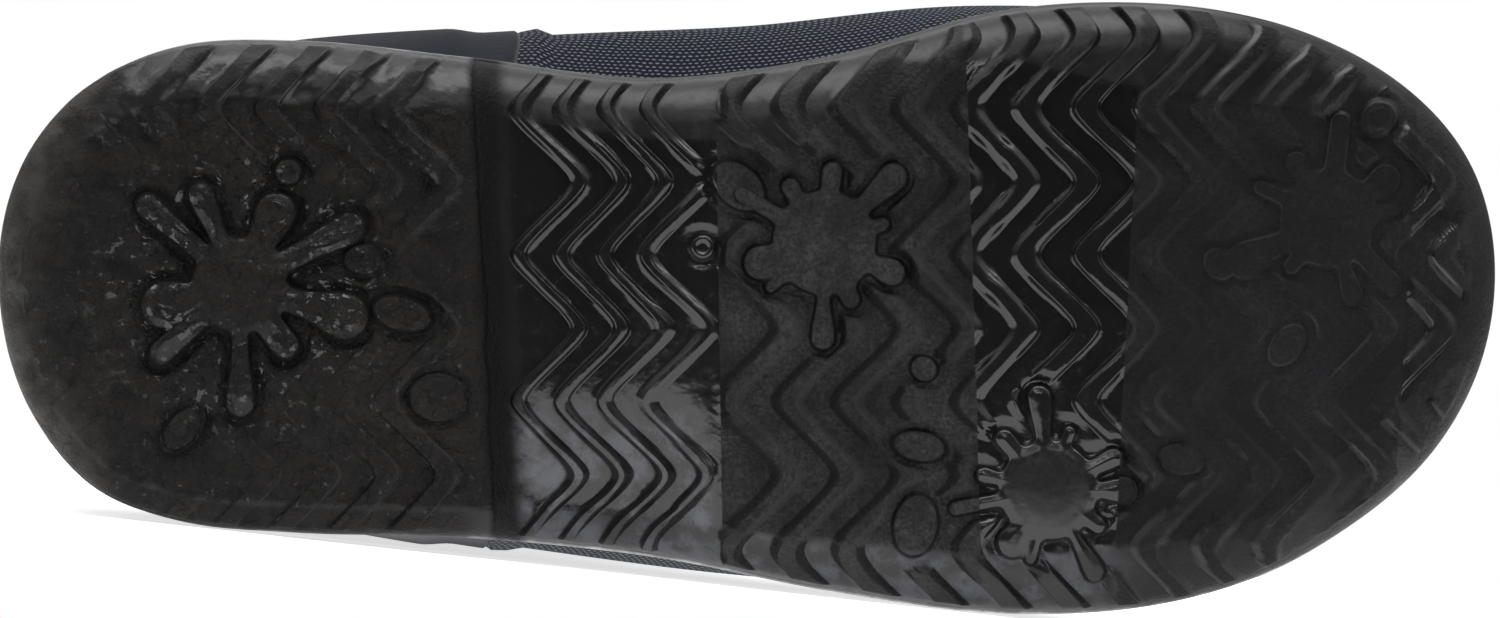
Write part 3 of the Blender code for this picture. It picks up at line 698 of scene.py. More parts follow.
# Soft folds. Columns: ring, place from the front (0) to the back (1), half-reach, width, depth.
FOLDS = (
    (5.35, 0.00, 0.42, 0.16, 0.9),
    (5.95, 0.04, 0.36, 0.15, 1.1),
    (6.60, -0.03, 0.30, 0.17, 0.7),
    (6.20, 1.00, 0.26, 0.20, 0.6),
    (4.30, 0.30, 0.16, 0.20, 0.5),
    (4.40, -0.28, 0.15, 0.22, 0.5),
    (7.60, 0.55, 0.22, 0.30, 0.5),
)
FOLD_BEND, FOLD_LIP, FOLD_LIP_AT = 0.5, 0.55, 1.6
# Folded edge in front of the counter: height, half-width, length of the loop's half, and the rings it spans.
EDGE_RIDGE, EDGE_HALF_WIDTH, HALF_LOOP = 1.8, 0.75, 190.0
EDGE_BEGINS, EDGE_STOPS = (0.9, 1.2), (2.6, 3.4)
SKIN_FROM_RING = 0.9
COLLAR_ROUND_RING, COLLAR_ROWS, COLLAR_ROUND_SHARE = 0.025, 7, 0.42
CLOSING_STEP = 1.0
# Rings over which the painted light low on the outer side fades out.
PAINTED_LIGHT_RINGS = (1.3, 2.4)


def loop_walk(steps):
    """(side, share) round a loop of the upper: from the back, along the outer side first."""
    shares = np.linspace(0, 1, steps + 1)
    return [(OUTER, s) for s in shares[:-1]] + [(INNER, s) for s in shares[:0:-1]]


def rim_loops(walk):
    on_floor, at_lip = [], []
    for side, share in walk:
        spot = outline(side, share) + (RIM_THICKNESS + SEAT_GAP) * inward_ways(side, np.array([share]))[0]
        on_floor.append((*spot, float(floor_height(spot[0])) + SEAT_GAP))
        at_lip.append((*spot, float(lip_height(station_of(share)))))
    return on_floor, at_lip


def section_loop(walk, section):
    _, back_x, back_z, front_x, front_z, inner, outer = section
    loop = []
    for side, share in walk:
        along = (1 - math.cos(math.pi * share)) / 2
        widths = (0.0, *(inner if side == INNER else outer), 0.0)
        half_width = float(smooth(UPPER_STATIONS, widths, share))
        x, z = back_x + (front_x - back_x) * along, back_z + (front_z - back_z) * along
        loop.append((x, side * half_width, z))
    return loop


def upper_surface(walk, rings):
    """Outer surface of the upper as an array [ring, place round the loop, xyz]. Ring 0 is the bottom edge."""
    keys = np.array([*rim_loops(walk), *[section_loop(walk, section) for section in UPPER_SECTIONS]])
    numbers = np.arange(len(keys), dtype=float)
    rings = np.broadcast_to(rings, (len(rings), len(walk)))
    made = np.empty((*rings.shape, 3))
    for place in range(len(walk)):
        at = rings[:, place]
        for axis in range(3):
            values = keys[:, place, axis]
            in_rim = values[0] + at * (values[1] - values[0])
            made[:, place, axis] = np.where(at < 1, in_rim, smooth(numbers[1:], values[1:], at))
    return made


def outward_normals(grid, closed):
    """Unit normals of a sheet round the foot, pointing away from the boot's middle."""
    normals = grid_normals(grid, closed)
    middle = grid.mean(axis=(0, 1))
    if ((grid - middle) * normals).sum() < 0:
        normals = -normals
    return normals


def upper_swell(walk, rings):
    """How far the upper's skin stands out or in: soft folds, and the folded edge in front of the counter."""
    side, share = np.array(walk).T
    place = (1 - share) * side
    rings = np.asarray(rings)[:, None]
    swell = np.zeros((len(rings), len(walk)))
    for ring, centre, half_reach, width, depth in FOLDS:
        off = np.abs((place - centre + 1) % 2 - 1) / half_reach
        window = np.clip(1 - off**2, 0, None) ** 2
        line = (rings - ring - FOLD_BEND * width * off**2) / width
        swell += window * depth * (-np.exp(-(line**2)) + FOLD_LIP * np.exp(-((line - FOLD_LIP_AT) ** 2)))
    front = np.where(side > 0, COUNTER_FRONT_SHARE[OUTER], COUNTER_FRONT_SHARE[INNER])
    before = (share - front) * HALF_LOOP / EDGE_HALF_WIDTH
    ridge = np.exp(-((before - 1) ** 2)) * (1 - step(*EDGE_STOPS, rings)) * step(*EDGE_BEGINS, rings)
    return swell + EDGE_RIDGE * ridge


def arc_lengths(grid, axis):
    """Running length along rows or columns of a grid of points."""
    pieces = np.linalg.norm(np.diff(grid, axis=axis), axis=-1)
    start = np.zeros_like(np.take(pieces, [0], axis=axis))
    return np.concatenate([start, np.cumsum(pieces, axis=axis)], axis=axis)


def make_upper(knit, lining):
    walk = loop_walk(LOOP_HALF)
    edge_rings = LAST_RING - COLLAR_ROUND_RING * np.linspace(1, 0, COLLAR_ROWS + 1)[1:]
    outer_rings = np.concatenate([
        [0.0], np.linspace(SKIN_FROM_RING, LAST_RING - COLLAR_ROUND_RING, UPPER_OUTER_RINGS), edge_rings,
    ])
    outer = upper_surface(walk, outer_rings[:, None])
    skin_normals = outward_normals(outer, True)
    outer_skin = outer + skin_normals * upper_swell(walk, outer_rings)[..., None]
    inner_rings = np.concatenate([
        [0.0], np.linspace(1, LAST_RING - COLLAR_ROUND_RING, UPPER_INNER_RINGS), edge_rings,
    ])
    inner_base = upper_surface(walk, inner_rings[:, None])
    inner_normals = outward_normals(inner_base, True)
    inner = inner_base - inner_normals * UPPER_WALL
    near_edge = np.linspace(0, 1, COLLAR_ROWS + 1)[1:, None, None]
    rounding = UPPER_WALL * COLLAR_ROUND_SHARE * (1 - np.sqrt(1 - near_edge**2))
    outer_skin[-COLLAR_ROWS:] -= skin_normals[-COLLAR_ROWS:] * rounding
    inner[-COLLAR_ROWS:] += inner_normals[-COLLAR_ROWS:] * rounding

    count = len(walk)
    outer_faces = grid_faces(len(outer_rings), count, True)
    inner_faces = grid_faces(len(inner_rings), count, True) + outer_skin.shape[0] * count
    places = np.arange(count)
    ahead = (places + 1) % count
    rims = []
    for outer_row, inner_row in ((0, 0), (len(outer_rings) - 1, len(inner_rings) - 1)):
        out, inn = outer_row * count, outer_skin.shape[0] * count + inner_row * count
        rims.append(np.stack([out + places, out + ahead, inn + ahead, inn + places], axis=-1))
    faces = np.concatenate([outer_faces, inner_faces, *rims])
    lined = np.concatenate([np.zeros(len(outer_faces)), np.ones(len(inner_faces) + 2 * count)])

    side, share = np.array(walk).T
    front_first = np.roll(outer, -LOOP_HALF, axis=1)
    round_front = arc_lengths(np.concatenate([front_first, front_first[:, :1]], axis=1), 1)[:, :-1]
    around = np.roll(round_front, LOOP_HALF, axis=1)
    full = round_front[:, -1:] + CLOSING_STEP
    around = np.where((side < 0)[None, :], around, around - full * (share < 1)[None, :])
    up = arc_lengths(outer, 0)
    # Painted light: the knit low on the outer side, next to the table, is coloured paler.
    low_outside_painted_light = (side > 0) * (1 - step(*PAINTED_LIGHT_RINGS, outer_rings[:, None]))
    weave = np.stack([around, up, low_outside_painted_light], axis=-1).reshape(-1, 3)
    weave = np.concatenate([weave, np.zeros((inner.shape[0] * count, 3))])
    return make_piece(
        "upper_knit_shell",
        np.concatenate([outer_skin.reshape(-1, 3), inner.reshape(-1, 3)]),
        faces,
        [knit, lining],
        (("weave", weave),),
        lined,
    )


# Heel counter

COUNTER_ROUND, COUNTER_UP = 220, 70
COUNTER_EDGE, COUNTER_HIGHLIGHT_EDGE = 0.7, (0.1, 0.7)
COUNTER_TOP_FALLS, MARGIN_BEFORE, MARGIN_AFTER = (0.25, 1.0), 0.035, 0.01
COUNTER_EDGE_GAP, COUNTER_BACK_GAP = 0.4, 0.3
# Where the painted light on the counter's outer side reaches, and how high it climbs.
PAINTED_LIGHT_REACH, PAINTED_LIGHT_CLIMB = (0.3, 0.7), (0.1, 0.5)


def make_counter(finish):
    """Smooth overlay with a rounded edge and a thin margin at its front."""
    reach = np.linspace(-1, 1, COUNTER_ROUND + 1)
    walk = []
    for r in reach:
        side = OUTER if r > 0 else INNER
        walk.append((side, abs(r) * COUNTER_FRONT_SHARE[side]))
    fall = step(*COUNTER_TOP_FALLS, np.abs(reach))
    tops = COUNTER_TOP_RING + (COUNTER_FRONT_RING - COUNTER_TOP_RING) * fall
    climb = np.linspace(0, 1, COUNTER_UP + 1)[:, None]
    base = upper_surface(walk, COUNTER_LOW_RING + climb * (tops - COUNTER_LOW_RING))
    normals = outward_normals(base, False)
    up, along = arc_lengths(base, 0), arc_lengths(base, 1)
    along_edge = np.minimum(along, along[:, -1:] - along)
    edge = np.minimum(np.minimum(up, up[-1:] - up), along_edge)
    margin = step(COUNTER_MARGIN_SHARE - MARGIN_BEFORE, COUNTER_MARGIN_SHARE + MARGIN_AFTER, np.abs(reach))
    thickness = COUNTER_THICKNESS + (COUNTER_MARGIN_THICKNESS - COUNTER_THICKNESS) * margin
    rounded = np.sqrt(1 - (1 - np.clip(edge / COUNTER_EDGE, 0, 1)) ** 2)
    at_edge = SEAT_GAP * COUNTER_EDGE_GAP
    outer = base + normals * (at_edge + (SEAT_GAP - at_edge + thickness) * rounded)[..., None]
    inner = base + normals * SEAT_GAP * COUNTER_BACK_GAP
    rows, columns = base.shape[:2]
    front_faces = grid_faces(rows, columns, False)
    numbers = np.arange(rows * columns).reshape(rows, columns)
    border = np.concatenate([numbers[0], numbers[1:, -1], numbers[-1, -2::-1], numbers[-2:0:-1, 0]])
    ahead = np.roll(border, -1)
    far = rows * columns
    rim = np.stack([border, ahead, ahead + far, border + far], axis=-1)
    faces = np.concatenate([front_faces, front_faces + far, rim])
    looks = (
        ("margin", margin),
        # Painted highlight along the counter's front edges.
        ("front_edge_highlight", 1 - step(*COUNTER_HIGHLIGHT_EDGE, along_edge)),
        # Painted light low on the outer side, next to the table.
        ("low_outside_painted_light", step(*PAINTED_LIGHT_REACH, reach) * (1 - step(*PAINTED_LIGHT_CLIMB, climb))),
    )
    return make_piece(
        "heel_counter_overlay", np.concatenate([outer.reshape(-1, 3), inner.reshape(-1, 3)]), faces, [finish],
        [(key, np.tile(np.broadcast_to(values, (rows, columns)).reshape(-1), 2)) for key, values in looks],
    )


# Insole

INSOLE_ROWS, INSOLE_COLUMNS, INSOLE_EDGE, INSOLE_EDGE_STEPS = 150, 40, 0.9, 5
INSOLE_SIDE_GAP = 0.42
HEEL_HOLLOW, HOLLOW_BEGINS, HOLLOW_STOPS = 0.8, (8.0, 22.0), (40.0, 80.0)


def make_insole(finish):
    """Foam sheet with a rounded upper edge and a shallow hollow under the heel."""
    shares = np.linspace(0, 1, INSOLE_ROWS + 1)
    inset = RIM_THICKNESS + SEAT_GAP + UPPER_WALL + INSOLE_SIDE_GAP
    profile = [(inset, 0.0), (inset, INSOLE_THICKNESS - INSOLE_EDGE)]
    for angle in np.linspace(0, math.pi / 2, INSOLE_EDGE_STEPS)[1:]:
        profile.append((
            inset + INSOLE_EDGE * (1 - math.cos(angle)),
            INSOLE_THICKNESS - INSOLE_EDGE * (1 - math.sin(angle)),
        ))
    sides = {}
    for side in (INNER, OUTER):
        base, inward = outline(side, shares), inward_ways(side, shares)
        columns = []
        for off, lift in profile:
            spot = base + inward * off
            columns.append(np.column_stack([spot, floor_height(spot[:, 0]) + SEAT_GAP + lift]))
        sides[side] = columns
    top = []
    for part in np.linspace(0, 1, INSOLE_COLUMNS + 2)[1:-1]:
        spot = sides[INNER][-1] * (1 - part) + sides[OUTER][-1] * part
        x = spot[:, 0]
        hollow = HEEL_HOLLOW * step(*HOLLOW_BEGINS, x) * (1 - step(*HOLLOW_STOPS, x))
        hollow *= math.sin(math.pi * part)
        spot[:, 2] = floor_height(x) + SEAT_GAP + INSOLE_THICKNESS - hollow
        top.append(spot)
    loops = np.stack([*sides[INNER], *top, *sides[OUTER][::-1]], axis=1)
    faces = grid_faces(*loops.shape[:2], closed=True)
    return make_piece("insole_sheet", loops.reshape(-1, 3), faces, [finish])


# Finishes


class Wire:
    """A value in a finish's node tree. Arithmetic on it adds Math nodes."""

    def __init__(self, tree, socket):
        self.tree, self.socket = tree, socket

    def node(self, kind, settings=(), outlet=0, **values):
        """New node of this kind, with its settings first and then its sockets, and one of its outlets."""
        made = self.tree.nodes.new(kind)
        for key, value in dict(settings).items():
            setattr(made, key, value)
        for key, value in values.items():
            name = key.replace("_", " ")
            inlet = made.inputs[int(key[1:])] if key[0] == "i" and key[1:].isdigit() else made.inputs[name]
            if isinstance(value, Wire):
                self.tree.links.new(value.socket, inlet)
            else:
                inlet.default_value = value
        return Wire(self.tree, made.outputs[outlet])

    def maths(self, operation, *values):
        inlets = {f"i{k}": value for k, value in enumerate(values)}
        return self.node("ShaderNodeMath", {"operation": operation}, **inlets)

    def __add__(self, other):
        return self.maths("ADD", self, other)

    def __sub__(self, other):
        return self.maths("SUBTRACT", self, other)

    def __rsub__(self, other):
        return self.maths("SUBTRACT", other, self)

    def __mul__(self, other):
        return self.maths("MULTIPLY", self, other)

    def __truediv__(self, other):
        return self.maths("DIVIDE", self, other)

    __radd__, __rmul__ = __add__, __mul__

    def floor(self):
        return self.maths("FLOOR", self)

    def root(self):
        return self.maths("SQRT", self)

    def fraction(self):
        return self.maths("FRACT", self)

    def size(self):
        return self.maths("ABSOLUTE", self)

    def rise(self, start, end):
        """0 below start, 1 above end, smooth between."""
        return self.node(
            "ShaderNodeMapRange", {"interpolation_type": "SMOOTHSTEP"},
            Value=self, From_Min=start, From_Max=end, To_Min=0.0, To_Max=1.0,
        )

    def between(self, low, high):
        """Mix of two colours by this value."""
        return self.node("ShaderNodeMix", {"data_type": "RGBA"}, 2, i0=self, i6=low, i7=high)


def new_finish(name, **constants):
    """Material with one Principled shader: its tree's first wire, and a function that feeds the shader."""
    made = bpy.data.materials.new(name)
    made.use_nodes = True
    tree = made.node_tree
    shader = tree.nodes["Principled BSDF"]
    for key, value in constants.items():
        shader.inputs[key.replace("_", " ")].default_value = value
    tools = Wire(tree, None)

    def feed(**wires):
        for key, wire in wires.items():
            tree.links.new(wire.socket, shader.inputs[key.replace("_", " ")])

    return made, tools, feed


def stored(tools, name, outlet="Fac"):
    return tools.node("ShaderNodeAttribute", {"attribute_name": name}, outlet)


def parts_of(tools, vector):
    """The three numbers of a vector."""
    split = tools.node("ShaderNodeSeparateXYZ", Vector=vector)
    return [Wire(split.tree, outlet) for outlet in split.socket.node.outputs]


def noise(tools, scale, detail=3.0, roughness=0.55):
    """Even noise over the object, with features of 1/scale metres."""
    place = tools.node("ShaderNodeTexCoord", outlet="Object")
    return tools.node("ShaderNodeTexNoise", Vector=place, Scale=scale, Detail=detail, Roughness=roughness)


def bump(tools, height, distance, strength=1.0, below=None):
    extra = {"Normal": below} if below else {}
    return tools.node("ShaderNodeBump", Height=height, Distance=distance, Strength=strength, **extra)


def colour(r, g, b):
    return (r, g, b, 1.0)


def span(place, begins, stops):
    """1 between two places and 0 before and after them."""
    return place.rise(*begins) * (1 - place.rise(*stops))


# Noises of the rubber. Columns: name, scale, detail, roughness.
RUBBER_NOISES = (
    ("grain", 1900.0, 2.0, 0.55),
    ("speck", 1250.0, 1.0, 0.55),
    ("fleck", 760.0, 2.0, 0.55),
    ("scuff", 700.0, 6.0, 0.75),
    ("ripple", 330.0, 3.0, 0.55),
    ("crease", 270.0, 3.0, 0.55),
    ("smear", 210.0, 5.0, 0.65),
    ("blotch", 95.0, 4.0, 0.55),
)
# Where the rubber changes, in millimetres. Each pair is the beginning and the end of a change.
HEEL_STOPS, BREAST_SHADOW_BEGINS, BREAST_SHADOW_STOPS = (64.4, 64.9), (63.4, 64.6), (67.0, 69.5)
MIDDLE_BEGINS, MIDDLE_STOPS, MIDDLE_SLANT = (58.0, 70.0), (148.0, 162.0), 0.16
MIDLINE, FRONT_BEGINS, TIP_BEGINS = (-6.0, 6.0), (140.0, 160.0), (185.0, 188.0)
# Painted sheen, a reflection of the white table laid into the colour: where it lies along the sole and
# outwards across it, on the waist and on the outer rolled edge.
WAIST_SHEEN_ALONG, WAIST_SHEEN_FROM = ((64.0, 70.0), (93.0, 96.0)), (14.0, 24.0)
ROLL_SHEEN_ALONG, ROLL_SHEEN_FROM = ((66.0, 90.0), (141.0, 154.0)), (15.0, 25.0)
HEEL_SIDE_BEGINS, HEEL_RIM_STOPS, LIP_HIGHLIGHT_DIMS = (10.0, 26.0), (6.0, 20.0), (64.0, 86.0)
# The same, measured from the middles of the heel splash and the band splash.
HEEL_FINGERS, HEEL_RIM_BEGINS, BAND_CORE_STOPS = ((5.0, 9.0), (13.0, 23.0)), (24.0, 33.0), (4.5, 7.5)
PAD_SOFTNESS, WAVINESS, WRINKLE_WIDTH = 0.1, 2.0, 0.035
# Depths of the rubber's bumps, in metres
GRAIN_DEPTH, LUMP_DEPTH, SCUFF_DEPTH, WAVE_DEPTH = 0.00024, 0.0020, 0.00002, 0.0007
RUBBER = SimpleNamespace(
    ground=colour(0.0040, 0.0040, 0.0043),
    ball_dust=colour(0.0390, 0.0390, 0.0412),
    heel_dust=colour(0.0172, 0.0140, 0.0116),
    toe_dust=colour(0.0148, 0.0144, 0.0164),
    # Painted shade on the heelward flanks of ribs.
    rib_edge_shade=colour(0.0020, 0.0020, 0.0020),
    # Wear on raised tops, and painted light on the toeward flanks of ribs and the edges of the toe's figures.
    wear_and_painted_light=colour(0.042, 0.041, 0.042),
    # Painted shade for the heel's wrinkles and the hollows round its figures.
    crease=colour(0.0025, 0.0025, 0.0025),
    # Pale specks on the heel: dust specks, and painted glints.
    speck=colour(0.08, 0.08, 0.085),
    core=colour(0.006, 0.006, 0.0065),
    # Paler rim at the back of the heel: dust, and a painted highlight along the edge.
    heel_rim=colour(0.068, 0.064, 0.060),
    # Painted shade: the band at the heel breast and the dark lines along rib flanks.
    line=colour(0.003, 0.003, 0.003),
    # Painted highlights along the bead of the lip.
    matte_lip_highlight=colour(0.20, 0.20, 0.205),
    clean=colour(0.0085, 0.0085, 0.0090),
    # Painted sheen: a pale bluish reflection on the outer waist and rolled edge.
    film=colour(0.070, 0.072, 0.084),
    outer_lip_highlight=colour(0.85, 0.85, 0.86),
    inner_lip_highlight=colour(0.48, 0.48, 0.485),
)


def rubber_zones(tools):
    """Noises of the rubber, and masks of its zones, edges and painted sheens."""
    at = SimpleNamespace(**{name: noise(tools, *kind) for name, *kind in RUBBER_NOISES})
    at.x, at.y, at.rim = parts_of(tools, stored(tools, "place", "Vector"))
    at.raised, at.flank, at.bead = (stored(tools, name) for name in ("raised", "flank", "bead"))
    at.grain = at.grain.rise(0.30, 0.70)
    at.wrinkle = 1 - (at.crease - 0.5).size().rise(0.0, WRINKLE_WIDTH)

    def beyond(place, slant):
        return (at.x - at.y * slant).rise(place - PAD_SOFTNESS, place + PAD_SOFTNESS)

    def off_middle(splash):
        off_x, off_y = at.x - splash[0], at.y - splash[1]
        return (off_x * off_x + off_y * off_y).root()

    slanted = at.x - at.y * BREAST_SLANT + (at.blotch - 0.5) * WAVINESS
    at.heel = 1 - slanted.rise(*HEEL_STOPS)
    at.ball, at.toe = (
        beyond(start, start_slant) * (1 - beyond(end, end_slant))
        for start, start_slant, end, end_slant, _ in MATTE_PADS[1:]
    )
    # Painted shadow: a dark, dull band at the heel breast.
    at.breast = span(slanted, BREAST_SHADOW_BEGINS, BREAST_SHADOW_STOPS)
    at.middle = at.x.rise(*MIDDLE_BEGINS) * (1 - (at.x + at.y * MIDDLE_SLANT).rise(*MIDDLE_STOPS))
    at.inside = 1 - at.y.rise(*MIDLINE)
    at.front = at.x.rise(*FRONT_BEGINS)
    at.tip = at.x.rise(*TIP_BEGINS)
    at.off_heel = off_middle(SPLASHES[0])
    at.band_core = 1 - off_middle(SPLASHES[2]).rise(*BAND_CORE_STOPS)

    at.lower_edge = at.flank.rise(0.12, 0.7)
    at.upper_edge = (at.flank * -1.0).rise(0.2, 0.8)
    at.rib_top = at.raised.rise(0.15, 0.45) * (1 - at.lower_edge) * (1 - at.upper_edge)
    # Painted sheen on the outer half of the waist and along the outer rolled edge.
    at.waist_film = span(at.x, *WAIST_SHEEN_ALONG) * at.y.rise(*WAIST_SHEEN_FROM)
    at.roll_film = at.rim * span(at.x, *ROLL_SHEEN_ALONG) * at.y.rise(*ROLL_SHEEN_FROM)
    # Painted shade: dark lines on both flanks of ribs inside the painted sheen and along the inner rolled
    # edge of the middle.
    lined = at.waist_film + at.roll_film + at.rim * at.inside * at.middle * 0.85
    at.dark_line = (at.lower_edge + at.upper_edge).rise(0.0, 1.0) * lined.rise(0.0, 1.0)
    return at


def rubber_gloss(at):
    """Share of the glossy rubber: zones between the pads and rolled edges, and glints on the worn heel."""
    pads = at.heel + at.ball + at.toe
    heel_side = (1 - at.middle) * (1 - at.front) * at.inside * at.x.rise(*HEEL_SIDE_BEGINS)
    edge_gloss = 0.06 + at.front * 0.18 + at.middle * 0.75 + heel_side * 0.92
    crest = at.lower_edge * at.raised.rise(0.32, 0.52)
    splash_top = at.raised.rise(0.80, 0.90) * (1 - at.lower_edge)
    gloss = (1 - pads * (1 - at.rim)) * (1 + at.rim * (edge_gloss - 1)) * (1 - at.breast * 0.95)
    gloss = gloss * (1 - at.rim * at.rib_top * (0.65 - at.middle * 0.4)) * (1 - at.tip * (1 - crest) * 0.65)
    gloss = gloss + crest * at.rim * at.front * (0.35 + at.inside * 0.55)
    gloss = gloss * (1 - at.dark_line * 0.9) * (1 - splash_top * 0.6)

    fingers = span(at.off_heel, *HEEL_FINGERS)
    wet = at.fleck.rise(0.58, 0.62) * (0.03 + fingers * 0.95)
    wet = wet + at.smear.rise(0.47, 0.56) * at.raised.rise(0.45, 0.75) * fingers * 0.36
    glint = at.speck.rise(0.64, 0.74) * 0.4 + at.scuff.rise(0.52, 0.62) * at.lower_edge
    return gloss + at.heel * (1 - at.rim) * ((1 - at.breast) * (0.02 + wet) + glint * 0.5)


def matte_colour(at):
    """Colour of the dull rubber: dust over black, with wear on raised tops, painted light on toeward flanks
    and toe edges, and painted shade on heelward flanks, in creases and in hollows laid over it in turn.
    """
    dusty = (0.30 + at.blotch.rise(0.35, 0.70) * 0.70) * (0.45 + at.scuff.rise(0.30, 0.70) * 0.55)
    dust = at.toe.between(at.heel.between(RUBBER.ball_dust, RUBBER.heel_dust), RUBBER.toe_dust)
    # Wear on scuffed raised tops, plus painted light on the toeward flanks of ribs.
    wear_and_painted_light = at.scuff.rise(0.55, 0.70) * at.raised.rise(0.20, 0.5) * (1 - at.lower_edge) + at.upper_edge
    # Painted highlight along the heelward edges of the toe's ribs and figures.
    toe_painted_highlight = at.lower_edge * at.toe * at.raised.rise(0.12, 0.22) * at.smear.rise(0.42, 0.58)
    # Paler rim at the back of the heel: dust, and a painted highlight along the edge.
    heel_rim = at.off_heel.rise(*HEEL_RIM_BEGINS) * (1 - at.x.rise(*HEEL_RIM_STOPS))
    tint = RUBBER.ground
    for share, over in (
        (dusty * (0.45 + at.grain * 0.75), dust),
        # Painted shade on the heelward flanks of ribs and figures, weaker on the toe.
        (at.lower_edge * (0.85 - at.toe * 0.65), RUBBER.rib_edge_shade),
        (wear_and_painted_light * 0.4 + toe_painted_highlight * 0.55, RUBBER.wear_and_painted_light),
        # Painted shade in the heel's wrinkles.
        (at.wrinkle * at.heel * 0.7, RUBBER.crease),
        # Pale specks on the heel: dust specks, and painted glints.
        (at.speck.rise(0.70, 0.77) * at.heel * 0.4, RUBBER.speck),
        (at.band_core * 0.7 + at.tip * 0.35, RUBBER.core),
        # Painted shade in the hollows and troughs round the heel's figures.
        ((at.raised * -1.0).rise(0.08, 0.34) * at.heel * 0.5, RUBBER.crease),
        (heel_rim * at.smear.rise(0.20, 0.65) * 0.75, RUBBER.heel_rim),
        # Painted shadow at the heel breast and painted shade along rib flanks.
        (at.breast + at.dark_line, RUBBER.line),
    ):
        tint = share.between(tint, over)
    return tint


def rubber_finish():
    """Moulded black rubber: matte worn pads, glossy zones and rolled edges, a painted highlight along the
    bead of the lip.
    """
    made = bpy.data.materials.new("moulded_black_rubber")
    made.use_nodes = True
    tree = made.node_tree
    tree.nodes.remove(tree.nodes["Principled BSDF"])
    tools = Wire(tree, None)
    at = rubber_zones(tools)
    # Painted highlight along the bead of the lip, dimmer on the inside from the waist forwards.
    bead_highlight = at.bead * (0.45 + at.ripple.rise(0.40, 0.70) * 0.55)
    bead_highlight = bead_highlight * (1 - at.x.rise(*LIP_HIGHLIGHT_DIMS) * at.inside * 0.82)
    # Colours of the painted highlight on the lip: bright on the outer side, dimmer on the inside.
    lip = at.inside.between(RUBBER.outer_lip_highlight, RUBBER.inner_lip_highlight)
    # Painted sheen: a pale bluish reflection, broken up by noise, laid into the glossy colour.
    film = (at.waist_film + at.roll_film * (1 - at.rib_top)).rise(0.0, 1.0) * at.smear.rise(0.40, 0.66)

    lumps = at.blotch * (0.3 + at.heel * 0.5) + at.ripple * (0.06 + at.heel * 0.30)
    lumpy = bump(tools, lumps - at.wrinkle * at.heel * 0.12, LUMP_DEPTH, 0.5)
    matte = tools.node(
        "ShaderNodeBsdfPrincipled", Specular_IOR_Level=0.13,
        Base_Color=bead_highlight.between(matte_colour(at), RUBBER.matte_lip_highlight),
        Roughness=0.58 + (at.scuff - 0.5) * 0.5,
        Normal=bump(tools, at.grain * 0.5 + at.scuff, GRAIN_DEPTH, 0.9, below=lumpy),
    )
    dull = 0.15 + at.scuff.rise(0.45, 0.8) * 0.20 + film * 0.15 + at.rim * 0.20 + at.band_core * 0.12
    wavy = bump(tools, at.blotch + at.ripple * (0.14 + at.heel * 0.8), WAVE_DEPTH, 0.5)
    glossy = tools.node(
        "ShaderNodeBsdfPrincipled", Specular_IOR_Level=0.5,
        Base_Color=bead_highlight.between(film.between(RUBBER.clean, RUBBER.film), lip),
        Roughness=dull * (1 - at.bead * 0.6),
        Normal=bump(tools, at.scuff, SCUFF_DEPTH, 0.6, below=wavy),
    )
    blend = tools.node("ShaderNodeMixShader", i0=rubber_gloss(at), i1=matte, i2=glossy)
    tree.links.new(blend.socket, tree.nodes["Material Output"].inputs["Surface"])
    return made


KNIT_PITCH, KNIT_ROW = 0.86, 0.86
FLOAT_SLIMNESS, FLOAT_FLATNESS = 6.0, 14.0
KNIT_DEPTH, OVERLAY_DEPTH, NAP_DEPTH = 0.00025, 0.0001, 0.0003


def knit_finish():
    """Navy knit facing: offset rows of short floats that catch the light over a darker ground."""
    made, tools, feed = new_finish(
        "navy_knit", Specular_IOR_Level=0.12,
        Sheen_Weight=0.12, Sheen_Roughness=0.35, Sheen_Tint=colour(0.75, 0.82, 1.0),
    )
    around, up, low_outside_painted_light = parts_of(tools, stored(tools, "weave", "Vector"))
    slack = (noise(tools, 130.0, 2.0) - 0.5) * 1.3 + (noise(tools, 430.0, 2.0) - 0.5) * 0.6
    along, rows = around / KNIT_PITCH + slack, up / KNIT_ROW + slack
    odd = (rows.floor() * 0.5).fraction()
    across = (along + odd).fraction() - 0.5
    upward = rows.fraction() - 0.5
    away = (across * across * FLOAT_SLIMNESS + upward * upward * FLOAT_FLATNESS).root()
    float_top = 1 - away.rise(0.55, 1.0)
    mottled = noise(tools, 1400.0, 3.0)
    lit = float_top * (0.45 + mottled * 0.9)
    # Paler knit low on the outer side: painted light from the table.
    ground = low_outside_painted_light.between(colour(0.002, 0.003, 0.009), colour(0.045, 0.046, 0.050))
    floats = low_outside_painted_light.between(colour(0.125, 0.132, 0.155), colour(0.42, 0.42, 0.43))
    feed(
        Base_Color=lit.between(ground, floats),
        Roughness=0.85 - float_top * 0.40,
        Normal=bump(tools, float_top + mottled * 0.25, KNIT_DEPTH, 0.9),
    )
    return made


